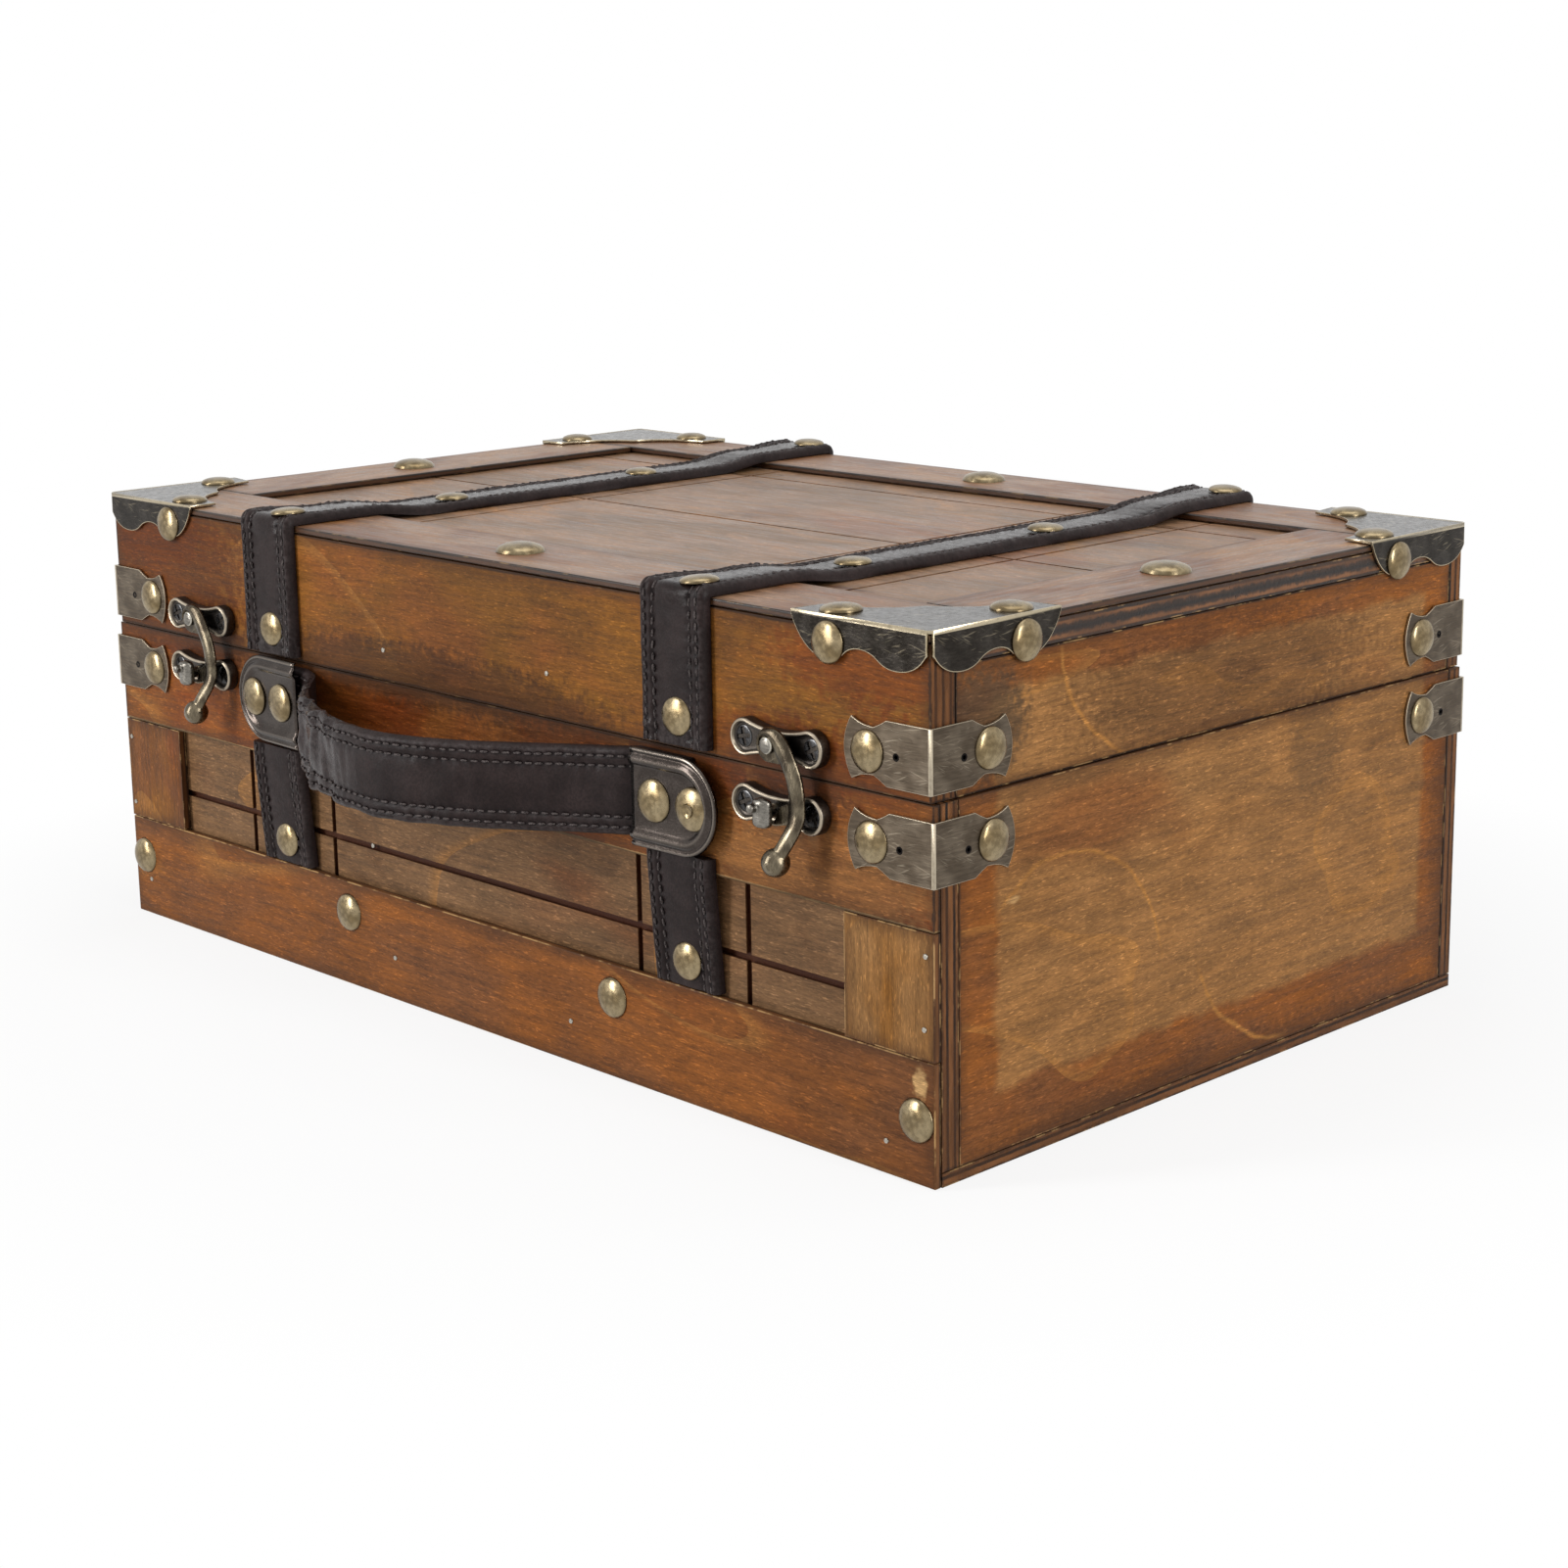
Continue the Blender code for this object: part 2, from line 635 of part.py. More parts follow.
def lid_strap_path():
    """Inner line of a lid strap: up the front, over the frame, down into the panel, and the same behind."""
    foot = CASE_HEIGHT + STRAP_ABOVE_SEAM
    over = HEIGHT + GAP
    sunk = PANEL_TOP + GAP
    frame_edge = BACK - FRAME_WIDTH
    half = [(BACK + GAP, foot), *arc((BACK, HEIGHT), GAP, 0, 90, STRAP_BEND_STEPS)]
    half += [(frame_edge, over), (frame_edge - STRAP_RAMP, sunk)]
    return [(-y, z) for y, z in half] + list(reversed(half))


def lid_strap_tacks(x, top_x):
    """Frames of the tacks on a lid strap, whose top ones stand further to the right."""
    out = GAP + STRAP_THICKNESS
    beside = CASE_HEIGHT + STRAP_TACK_ABOVE_SEAM
    over = HEIGHT + out
    sunk = PANEL_TOP + out
    frames = [face_frame("front", (x, FRONT - out, beside)), face_frame("back", (x, BACK + out, beside))]
    tops = (
        (FRONT + STRAP_TACK_FROM_EDGE, over), (FRONT + FRAME_WIDTH + STRAP_TACK_BEHIND_FRAME, sunk),
        (BACK - FRAME_WIDTH - STRAP_TACK_AHEAD_OF_FRAME, sunk), (BACK - STRAP_TACK_FROM_EDGE, over),
    )
    for y, z in tops:
        frames.append(Matrix.Translation((top_x, y, z)))
    return frames


def make_straps(leather, case, lid):
    """Two long straps on the lid, and short ones on the front and back of the case."""
    foot = BOTTOM_RAIL_HEIGHT + CASE_STRAP_FOOT
    tack_z = foot + STRAP_TACK_ABOVE_FOOT
    window = FRONT + FACING_THICKNESS
    face = FRONT - GAP
    top = PLATE_Z - PLATE_HEIGHT / 2 - GAP
    front_path = [(window, foot), (window, WINDOW_TOP - CASE_STRAP_RAMP)]
    front_path += [(face, WINDOW_TOP - GAP), (face, top)]
    back_path = [(BACK + GAP, CASE_HEIGHT - STRAP_ABOVE_SEAM), (BACK + GAP, foot)]
    for name, side in SIDES:
        centre = side * STRAP_X
        x = centre + STRAP_TACK_SHIFT
        lid_tacks = lid_strap_tacks(x, centre + STRAP_TOP_TACK_SHIFT)
        make_strap("lid_strap_" + name, leather, lid, lid_strap_path(), centre, lid_tacks)
        front_tack = face_frame("front", (x, window - STRAP_THICKNESS, tack_z))
        make_strap("case_strap_front_" + name, leather, case, front_path, centre, [front_tack])
        back_tack = face_frame("back", (x, BACK + GAP + STRAP_THICKNESS, tack_z))
        make_strap("case_strap_back_" + name, leather, case, back_path, centre, [back_tack])


def make_handle_band(leather, case):
    """The bowed leather handle, whose flat ends lie under the two plates."""
    flat = GAP + HANDLE_THICKNESS / 2
    half = STRAP_X - PLATE_LENGTH / 2
    end = STRAP_X + PLATE_LENGTH / 2 - HANDLE_END_INSET
    shares = [(-1.0, 0.0), *HANDLE_BOW, (1.0, 0.0)]
    bow = [Vector((half * share, flat + (HANDLE_RISE - flat) * rise)) for share, rise in shares]
    path = [Vector((-end, flat)), *smooth_path(bow, 2), Vector((end, flat))]
    points = []
    for x, proud in path:
        sag = HANDLE_SAG * max(0.0, 1 - (x / half) ** 2)
        points.append(Vector((x, -proud, -sag)))
    strip = ribbon(points, Vector((0, 0, HANDLE_WIDTH)))
    mesh = finished_mesh("handle_band", strip, thickness=HANDLE_THICKNESS, side=0.0)
    place("handle_band", mesh, leather, case, (0, FRONT, PLATE_Z))


# Handle plates

def d_outline(length, height, overhang=0.0):
    """A plate outline with a straight end at the left and a round end at the right."""
    radius = height / 2
    round_end = arc((length / 2 - radius, 0), radius, -90, 90, 10)
    start = -length / 2 - overhang
    return [(start, -radius), *round_end, (start, radius)]


def make_handle_plates(bronze, case):
    """Two plates with a raised bead on three sides and two domed rivets, over the ends of the handle."""
    full = PLATE_THICKNESS + PLATE_BEAD_HEIGHT
    plate = filled(add_prism, d_outline(PLATE_LENGTH, PLATE_HEIGHT), 0, full)
    floor_length = PLATE_LENGTH - 2 * PLATE_BEAD_WIDTH
    floor_outline = d_outline(floor_length, PLATE_HEIGHT - 2 * PLATE_BEAD_WIDTH, PLATE_BEAD_WIDTH * 2)
    recess = filled(add_prism, floor_outline, PLATE_THICKNESS, full + GAP)
    rivets = bmesh.new()
    for shift in (-RIVET_FROM_MIDDLE, RIVET_FROM_MIDDLE):
        frame = Matrix.Translation((shift, 0, PLATE_THICKNESS))
        add_dome(rivets, RIVET_RADIUS, RIVET_HEIGHT, frame)
    cut_plate = filled_from_mesh(finished_mesh("handle_plate_blank", plate, removed=[recess]))
    mesh = finished_mesh("handle_plate", cut_plate, fused=[rivets])
    for name, side in SIDES:
        turn = face_turn("front")
        if side < 0:
            turn = turn @ Matrix.Rotation(math.pi, 4, "Z")
        place("handle_plate_" + name, mesh, bronze, case, (side * STRAP_X, FRONT - PLATE_BASE, PLATE_Z), turn)


def filled_from_mesh(mesh):
    """A bmesh of a finished mesh, which is then dropped."""
    shape = bmesh.new()
    shape.from_mesh(mesh)
    bpy.data.meshes.remove(mesh)
    return shape


# Brackets and metal corners, drawn for the front right corner with the upright edge at the origin

def bracket_leg():
    """Outline of a bracket's leg, from the corner outward, anticlockwise."""
    high = BRACKET_HEIGHT / 2
    waist = BRACKET_WAIST / 2
    shoulder = (BRACKET_SHOULDER, high)
    narrow = (BRACKET_WAIST_AT, waist)
    ear = (BRACKET_EAR_AT, high)
    step = BRACKET_WAIST_AT - BRACKET_SHOULDER
    horn = BRACKET_EAR_AT - BRACKET_WAIST_AT
    upper = [shoulder, *bend(shoulder, (BRACKET_SHOULDER + 0.3 * step, waist), narrow, 2)]
    upper += bend(narrow, (BRACKET_WAIST_AT + 0.6 * horn, waist), ear)
    lower = [(x, -y) for x, y in upper]
    tip = bend((ear[0], -high), (2 * BRACKET_LENGTH - BRACKET_EAR_AT, 0), ear)
    return [(0, -high), *lower, *tip, *reversed(upper[:-1]), (0, high)]


def leg_frames(along, down, proud):
    """Frames at the same place on a corner piece's front leg and its end leg."""
    front = Matrix.Translation((-along, -proud, down)) @ face_turn("front")
    end = Matrix.Translation((proud, along, down)) @ face_turn("right")
    return [front, end]


def add_legs(shape, outline):
    """The two folded legs of a corner piece, from one outline."""
    add_sheet(shape, outline, Vector((0, 1, 0)), Vector((0, 0, 1)))
    add_sheet(shape, [(-x, y) for x, y in reversed(outline)], Vector((1, 0, 0)), Vector((0, 0, 1)))


def bracket_mesh():
    """A folded bracket with a small hole and a tack on each leg."""
    fold = bmesh.new()
    add_legs(fold, bracket_leg())
    bmesh.ops.remove_doubles(fold, verts=fold.verts, dist=0.00001)
    heads = bmesh.new()
    for frame in leg_frames(BRACKET_TACK_AT, 0, BRACKET_THICKNESS):
        add_dome(heads, TACK_RADIUS, TACK_HEIGHT, frame)
    holes = bmesh.new()
    for frame in leg_frames(BRACKET_HOLE_AT, 0, 0):
        profile = [(BRACKET_HOLE_RADIUS, -GAP), (BRACKET_HOLE_RADIUS, BRACKET_THICKNESS + GAP)]
        add_turned(holes, profile, HOLE_SIDES, frame)
    return finished_mesh("bracket", fold, [heads], [holes], thickness=BRACKET_THICKNESS, side=1.0)


def corner_place(name, half_width, height):
    """Where a corner piece's upright edge stands, just outside the wood."""
    x = half_width + GAP if "right" in name else -half_width - GAP
    y = FRONT - GAP if "front" in name else BACK + GAP
    return (x, y, height)


def make_brackets(bronze, case, lid):
    """Four brackets on the case and four on the lid, on each side of the seam."""
    mesh = bracket_mesh()
    lid_z = CASE_HEIGHT + BRACKET_ABOVE_SEAM + BRACKET_HEIGHT / 2
    case_z = CASE_HEIGHT - BRACKET_BELOW_SEAM - BRACKET_HEIGHT / 2
    for name, turn in CORNER_TURNS.items():
        spin = Matrix.Rotation(turn, 4, "Z")
        place("case_bracket_" + name, mesh, bronze, case, corner_place(name, RIGHT, case_z), spin)
        place("lid_bracket_" + name, mesh, bronze, lid, corner_place(name, LID_RIGHT, lid_z), spin)


def corner_flap():
    """Outline of a metal corner's flap, from the slit outward and downward."""
    slit = (CORNER_SLIT, -CORNER_SLIT_DEPTH)
    lobe = (CORNER_LOBE_AT, -CORNER_LOBE_DEPTH)
    crest = (CORNER_CREST_AT, -CORNER_CREST_DEPTH)
    middle = ((lobe[0] + crest[0]) / 2, (lobe[1] + crest[1]) / 2)
    second = (CORNER_TACK_AT, -CORNER_LOBE_DEPTH)
    rise = ((crest[0] + second[0]) / 2, (crest[1] + second[1]) / 2)
    points = [(CORNER_SLIT, 0), slit]
    points += bend(slit, (slit[0] + 0.3 * lobe[0], lobe[1]), lobe)
    points += bend(lobe, (0.4 * lobe[0] + 0.6 * middle[0], lobe[1]), middle, 2)
    points += bend(middle, (0.4 * crest[0] + 0.6 * middle[0], crest[1]), crest, 2)
    points += bend(crest, (0.4 * crest[0] + 0.6 * rise[0], crest[1]), rise, 2)
    points += bend(rise, (0.4 * second[0] + 0.6 * rise[0], second[1]), second, 2)
    points += bend(second, (CORNER_LENGTH - CORNER_TIP_ROUNDING, -CORNER_LOBE_DEPTH), (CORNER_LENGTH, 0))
    return points


def corner_top():
    """Outline of a metal corner's top, in distances from the corner along both edges."""
    ear = CORNER_EAR
    cusp = (CORNER_CUSP, CORNER_CUSP)
    half = [(CORNER_SLIT, 0), (CORNER_LENGTH, 0), ear, *bend(ear, CORNER_HOLLOW, cusp, 6)]
    return half + [(y, x) for x, y in reversed(half[:-1])]


def metal_corner_mesh():
    """A plate over a corner of the lid, folded down on two sides, with four tacks."""
    fold = bmesh.new()
    add_legs(fold, corner_flap())
    add_sheet(fold, [(-y, x) for x, y in corner_top()], Vector((1, 0, 0)), Vector((0, 1, 0)))
    bmesh.ops.remove_doubles(fold, verts=fold.verts, dist=0.00001)
    heads = bmesh.new()
    for frame in leg_frames(CORNER_TACK_AT, -CORNER_TACK_DOWN, CORNER_THICKNESS):
        add_dome(heads, CORNER_TACK_RADIUS, CORNER_TACK_HEIGHT, frame)
    for x, y in ((CORNER_TOP_TACK_AT, CORNER_TACK_IN), (CORNER_TACK_IN, CORNER_TOP_TACK_AT)):
        frame = Matrix.Translation((-x, y, CORNER_THICKNESS))
        add_dome(heads, CORNER_TACK_RADIUS, CORNER_TACK_HEIGHT, frame)
    return finished_mesh("metal_corner", fold, fused=[heads], thickness=CORNER_THICKNESS, side=1.0)


def make_metal_corners(metal, lid):
    """One metal corner on each top corner of the lid."""
    mesh = metal_corner_mesh()
    for name, turn in CORNER_TURNS.items():
        at = corner_place(name, LID_RIGHT, HEIGHT + GAP)
        place("metal_corner_" + name, mesh, metal, lid, at, Matrix.Rotation(turn, 4, "Z"))


# Hook latches, drawn with x right, y up and z outward from the face of the wood

def latch_outline(inset):
    """Outline of a latch plate, drawn in from its edge by the inset."""
    lobe = arc((LATCH_LOBE_FROM_MIDDLE, 0), LATCH_LOBE_RADIUS - inset, 0, 100, 5)
    waist = LATCH_WAIST / 2 - inset
    upper = lobe + bend(lobe[-1], (LATCH_LOBE_FROM_MIDDLE / 2, waist), (0, waist), 3)
    upper += [(-x, y) for x, y in reversed(upper[:-1])]
    return upper + [(x, -y) for x, y in reversed(upper[1:-1])]


def latch_plate():
    """A waisted plate, dished inside its rim, with two countersunk holes."""
    plate = filled(add_prism, latch_outline(0), GAP, LATCH_FACE)
    dish = filled(add_prism, latch_outline(LATCH_RIM_WIDTH), LATCH_FLOOR, LATCH_FACE + GAP)
    holes = bmesh.new()
    narrow = SCREW_SHANK_RADIUS + GAP
    wide = SCREW_HEAD_RADIUS + GAP
    profile = [(narrow, 0), (narrow, LATCH_FLOOR - SCREW_CONE)]
    profile += [(wide, LATCH_FLOOR), (wide, LATCH_FLOOR + GAP)]
    for shift in (-LATCH_SCREW_FROM_MIDDLE, LATCH_SCREW_FROM_MIDDLE):
        add_turned(holes, profile, TACK_SIDES, Matrix.Translation((shift, 0, 0)))
    return filled_from_mesh(finished_mesh("latch_plate", plate, removed=[dish, holes]))


def hook_plate_mesh():
    """The upper plate of a latch with the rivet that the hook turns on."""
    head = HOOK_BASE + HOOK_ARM_THICKNESS + GAP
    profile = [
        (PIVOT_RADIUS, LATCH_FLOOR - SINK), (PIVOT_RADIUS, head), (PIVOT_HEAD_RADIUS, head),
        (PIVOT_HEAD_RADIUS, head + 0.6 * PIVOT_HEAD_HEIGHT),
        (0.6 * PIVOT_HEAD_RADIUS, head + PIVOT_HEAD_HEIGHT),
    ]
    return finished_mesh("hook_plate", latch_plate(), fused=[filled(add_turned, profile, ROUND_SIDES)])


def catch_plate_mesh():
    """The lower plate of a latch with its neck, long head and stub."""
    head = HOOK_BASE + HOOK_WEB_THICKNESS + GAP
    top = head + CATCH_HEAD_THICKNESS
    corner = CATCH_HEAD_WIDTH / 2
    side = CATCH_HEAD_HEIGHT / 2 - corner
    outline = arc((0, side), corner, 0, 180, 6) + arc((0, -side), corner, 180, 360, 6)
    crown = [(0.7 * x, 0.85 * y) for x, y in outline]
    post = bmesh.new()
    add_turned(post, [(CATCH_NECK_RADIUS, LATCH_FLOOR - SINK), (CATCH_NECK_RADIUS, head + SINK)], POST_SIDES)
    shape = bmesh.new()
    rings = []
    for points, height in ((outline, head), (outline, head + 0.6 * CATCH_HEAD_THICKNESS), (crown, top)):
        rings.append([shape.verts.new((x, y, height)) for x, y in points])
    shape.faces.new(reversed(rings[0]))
    shape.faces.new(rings[-1])
    for lower, upper in zip(rings, rings[1:]):
        for k, corner_point in enumerate(lower):
            shape.faces.new((lower[k - 1], corner_point, upper[k], upper[k - 1]))
    frame = Matrix.Translation((-CATCH_STUB_LEFT, CATCH_STUB_UP, 0))
    stub_foot = head + CATCH_HEAD_THICKNESS / 2
    stub_profile = [(CATCH_STUB_RADIUS, stub_foot), (CATCH_STUB_RADIUS, top + CATCH_STUB_LENGTH)]
    stub = filled(add_turned, stub_profile, POST_SIDES, frame)
    return finished_mesh("catch_plate", latch_plate(), fused=[post, shape, stub])


def scaled(points):
    """Places on the hook, from shares of the distance between pivot and catch."""
    return [(x * HOOK_REACH, y * HOOK_REACH) for x, y in points]


def smooth_step(value, low, high):
    """0 below low, 1 above high, and an even curve between."""
    t = min(1.0, max(0.0, (value - low) / (high - low)))
    return t * t * (3 - 2 * t)


def hook_arm():
    """The arched arm from the eye to the tail, which lifts away from the wood towards the ball."""
    path = smooth_path([Vector(point) for point in scaled(HOOK_ARM_PATH)], 2)
    last = len(path) - 1
    half_widths = []
    lows = []
    for k, point in enumerate(path):
        start = smooth_step(k / last, 0.0, 0.3)
        full = HOOK_ARM_WIDTH * (1 + start) / 2
        lifted = smooth_step(point.length, HOOK_LIFT_START * HOOK_REACH, HOOK_LIFT_END * HOOK_REACH)
        half_widths.append((full + (HOOK_TAIL_WIDTH - full) * lifted) / 2)
        lows.append(HOOK_BASE + HOOK_TAIL_LIFT * lifted)
    highs = [low + HOOK_ARM_THICKNESS for low in lows]
    return filled(add_swept, path, half_widths, lows, highs)


def hook_tongue():
    """The flat tongue that takes the neck of the catch."""
    return filled(add_prism, scaled(HOOK_TONGUE), HOOK_BASE, HOOK_BASE + HOOK_WEB_THICKNESS)


def hook_mesh():
    """A hook: eye, throat, arm, tongue and ball in one casting."""
    eye_top = HOOK_BASE + HOOK_EYE_THICKNESS
    eye = filled(add_turned, [(HOOK_EYE_RADIUS, HOOK_BASE), (HOOK_EYE_RADIUS, eye_top)], EYE_SIDES)
    throat = filled(add_prism, scaled(HOOK_THROAT), HOOK_BASE, eye_top - GAP / 2)
    ball_x, ball_y = scaled([HOOK_BALL_AT])[0]
    ball_height = HOOK_BASE + HOOK_TAIL_LIFT + HOOK_ARM_THICKNESS / 2
    ball = bmesh.new()
    ball_frame = Matrix.Translation((ball_x, ball_y, ball_height))
    bmesh.ops.create_uvsphere(
        ball, u_segments=ROUND_SIDES, v_segments=BALL_RINGS, radius=HOOK_BALL_RADIUS, matrix=ball_frame)
    bore_radius = PIVOT_RADIUS + GAP
    bore_profile = [(bore_radius, HOOK_BASE - GAP), (bore_radius, eye_top + HOOK_ARM_THICKNESS)]
    bore = filled(add_turned, bore_profile, ROUND_SIDES)
    return finished_mesh("hook", hook_arm(), fused=[eye, throat, hook_tongue(), ball], removed=[bore])


def screw_mesh():
    """A countersunk screw along z, with the wood's face at zero."""
    top = LATCH_FLOOR
    profile = [
        (0.5 * SCREW_SHANK_RADIUS, -SCREW_DEPTH), (SCREW_SHANK_RADIUS, -SCREW_DEPTH + SCREW_SHANK_RADIUS),
        (SCREW_SHANK_RADIUS, top - SCREW_CONE), (SCREW_HEAD_RADIUS, top),
        (0.6 * SCREW_HEAD_RADIUS, top + SCREW_DOME),
    ]
    return finished_mesh("screw", filled(add_turned, profile, TACK_SIDES))


def make_latches(bronze, dark, case, lid, hooks):
    """Both latches: plates, catch, swinging hook and screws."""
    upper = hook_plate_mesh()
    lower = catch_plate_mesh()
    hook = hook_mesh()
    screw = screw_mesh()
    turn = face_turn("front")
    for name, side in SIDES:
        x = side * LATCH_X
        place("hook_plate_" + name, upper, bronze, lid, (x, FRONT, PIVOT_Z), turn)
        place("catch_plate_" + name, lower, bronze, case, (x, FRONT, CATCH_Z), turn)
        place("hook_" + name, hook, bronze, hooks[name], (x, FRONT, PIVOT_Z), turn)
        for number, shift in enumerate((-LATCH_SCREW_FROM_MIDDLE, LATCH_SCREW_FROM_MIDDLE), 1):
            ending = name + "_" + str(number)
            place("hook_screw_" + ending, screw, dark, lid, (x + shift, FRONT, PIVOT_Z), turn)
            place("catch_screw_" + ending, screw, dark, case, (x + shift, FRONT, CATCH_Z), turn)


# Hinges, drawn about the pin with x along it

def hinge_leaf_mesh(name, up, first):
    """A leaf with every other knuckle, starting from the given one."""
    half = HINGE_WIDTH / 2
    edge = up * (KNUCKLE_RADIUS + GAP)
    tip = up * HINGE_LEAF_HEIGHT
    joint = up * KNUCKLE_RADIUS / 4
    length = (HINGE_WIDTH - (KNUCKLE_COUNT - 1) * GAP) / KNUCKLE_COUNT
    comb = [(half, edge), (half, tip), (-half, tip), (-half, edge)]
    knuckles = bmesh.new()
    for k in range(first, KNUCKLE_COUNT, 2):
        start = -half + k * (length + GAP)
        frame = Matrix.Translation((start, 0, 0)) @ Matrix.Rotation(math.pi / 2, 4, "Y")
        add_turned(knuckles, [(KNUCKLE_RADIUS, 0), (KNUCKLE_RADIUS, length)], ROUND_SIDES, frame)
        left = start + TONGUE_INSET
        right = start + length - TONGUE_INSET
        comb += [(left, edge), (left, joint), (right, joint), (right, edge)]
    leaf = filled(add_prism, comb, KNUCKLE_RADIUS - HINGE_LEAF_THICKNESS, KNUCKLE_RADIUS)
    bmesh.ops.transform(leaf, verts=leaf.verts, matrix=Matrix.Rotation(math.pi / 2, 4, "X"))
    bore_frame = Matrix.Translation((-HINGE_WIDTH, 0, 0)) @ Matrix.Rotation(math.pi / 2, 4, "Y")
    bore_radius = PIN_RADIUS + GAP
    bore = filled(add_turned, [(bore_radius, 0), (bore_radius, 2 * HINGE_WIDTH)], ROUND_SIDES, bore_frame)
    return finished_mesh(name, leaf, fused=[knuckles], removed=[bore])


def pin_mesh():
    """A hinge pin with a small head at each end."""
    half = HINGE_WIDTH / 2 + GAP
    end = half + PIN_HEAD_THICKNESS
    profile = [
        (PIN_HEAD_RADIUS, -end), (PIN_HEAD_RADIUS, -half), (PIN_RADIUS, -half),
        (PIN_RADIUS, half), (PIN_HEAD_RADIUS, half), (PIN_HEAD_RADIUS, end),
    ]
    along = Matrix.Rotation(math.pi / 2, 4, "Y")
    return finished_mesh("hinge_pin", filled(add_turned, profile, ROUND_SIDES, along))


def make_hinges(bronze, case, lid):
    """Two butt hinges on the back, each with a lid leaf, a case leaf and a pin."""
    lid_leaf = hinge_leaf_mesh("hinge_lid_leaf", 1, 1)
    case_leaf = hinge_leaf_mesh("hinge_case_leaf", -1, 0)
    pin = pin_mesh()
    for name, side in SIDES:
        at = (side * HINGE_X, HINGE_AXIS_Y, HINGE_AXIS_Z)
        place("hinge_lid_leaf_" + name, lid_leaf, bronze, lid, at)
        place("hinge_case_leaf_" + name, case_leaf, bronze, case, at)
        place("hinge_pin_" + name, pin, bronze, case, at)


# The whole trunk

def main():
    """Build every piece under the empties of the case, the lid and the two hooks."""
    clear_scene()
    wood = make_material("stained_plywood", (0.33, 0.14, 0.045), 0.5, 0.0)
    leather = make_material("dark_leather", (0.035, 0.025, 0.023), 0.55, 0.0)
    bronze = make_material("antique_bronze", (0.16, 0.14, 0.11), 0.4, 1.0)
    metal = make_material("blackened_metal", (0.06, 0.055, 0.045), 0.4, 1.0)
    dark = make_material("black_steel", (0.02, 0.02, 0.02), 0.4, 1.0)
    case = make_joint_empty("case", (0, 0, 0))
    lid = make_joint_empty("lid", (0, HINGE_AXIS_Y, HINGE_AXIS_Z), case)
    hooks = {}
    for name, side in SIDES:
        hooks[name] = make_joint_empty(name + "_hook", (side * LATCH_X, FRONT, PIVOT_Z), lid)
    make_case_boards(wood, case)
    make_facing(wood, case)
    make_lid_boards(wood, lid)
    make_lid_frame(wood, lid)
    make_straps(leather, case, lid)
    make_handle_band(leather, case)
    make_handle_plates(bronze, case)
    make_brackets(bronze, case, lid)
    make_metal_corners(metal, lid)
    make_latches(bronze, dark, case, lid, hooks)
    make_hinges(bronze, case, lid)


main()
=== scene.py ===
import math

import bmesh
import bpy
from mathutils import Matrix, Vector, noise


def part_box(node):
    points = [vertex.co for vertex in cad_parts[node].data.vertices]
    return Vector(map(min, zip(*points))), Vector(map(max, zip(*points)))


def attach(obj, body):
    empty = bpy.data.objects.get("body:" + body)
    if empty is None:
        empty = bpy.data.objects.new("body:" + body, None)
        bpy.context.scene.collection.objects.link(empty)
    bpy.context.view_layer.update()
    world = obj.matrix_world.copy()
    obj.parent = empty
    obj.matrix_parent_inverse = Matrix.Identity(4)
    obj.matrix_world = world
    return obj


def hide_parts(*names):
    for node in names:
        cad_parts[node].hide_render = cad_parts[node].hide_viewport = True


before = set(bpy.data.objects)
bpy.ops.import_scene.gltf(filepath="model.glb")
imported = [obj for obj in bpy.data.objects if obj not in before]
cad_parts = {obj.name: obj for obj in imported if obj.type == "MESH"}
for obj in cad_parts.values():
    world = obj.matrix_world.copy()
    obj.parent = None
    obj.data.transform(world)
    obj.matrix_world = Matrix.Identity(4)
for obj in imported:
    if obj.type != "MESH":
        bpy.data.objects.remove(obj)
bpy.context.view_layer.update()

# Sizes taken over from the frame, in metres
GAP = 0.0003
FRONT = -0.102
BACK = 0.102
RIGHT = 0.165
HEIGHT = 0.126
SEAM = 0.0885
LID_RIGHT = 0.1642
FRAME_WIDTH = 0.0283
FRAME_THICKNESS = 0.0017
PANEL_TOP = 0.1240
WINDOW_BOTTOM = 0.0295
WINDOW_TOP = 0.0597
FACING_THICKNESS = 0.0020
PANEL_FACE = -0.0997

STRAP_X = 0.0835
STRAP_WIDTH = 0.0228
STRAP_THICKNESS = 0.0028
STRAP_RAMP = 0.0180
STRAP_ABOVE_SEAM = 0.0015
CASE_STRAP_FOOT = 0.0007
STRAP_TACK_SHIFT = 0.0014
STRAP_TOP_TACK_SHIFT = 0.0048
STRAP_TACK_FROM_EDGE = 0.0025
STRAP_TACK_ABOVE_SEAM = 0.0085
STRAP_TACK_ABOVE_FOOT = 0.0066
STRAP_TACK_BEHIND_FRAME = 0.0260
STRAP_TACK_AHEAD_OF_FRAME = 0.0497
STRAP_TACK_SINK = 0.0006

HANDLE_WIDTH = 0.0220
HANDLE_THICKNESS = 0.0022
HANDLE_RISE = 0.0290
HANDLE_SAG = 0.0023
HANDLE_END_INSET = 0.0102
HANDLE_BOW = (
    (-0.90, 0.085), (-0.82, 0.26), (-0.72, 0.48), (-0.55, 0.72), (-0.29, 0.93), (-0.04, 1.00),
    (0.17, 0.90), (0.39, 0.69), (0.62, 0.41), (0.82, 0.19), (0.94, 0.085),
)

PLATE_LENGTH = 0.0290
PLATE_HEIGHT = 0.0244
PLATE_Z = 0.0762
PLATE_BASE = 0.0028
PLATE_SHEET = 0.0008
RIVET_FROM_MIDDLE = 0.0066

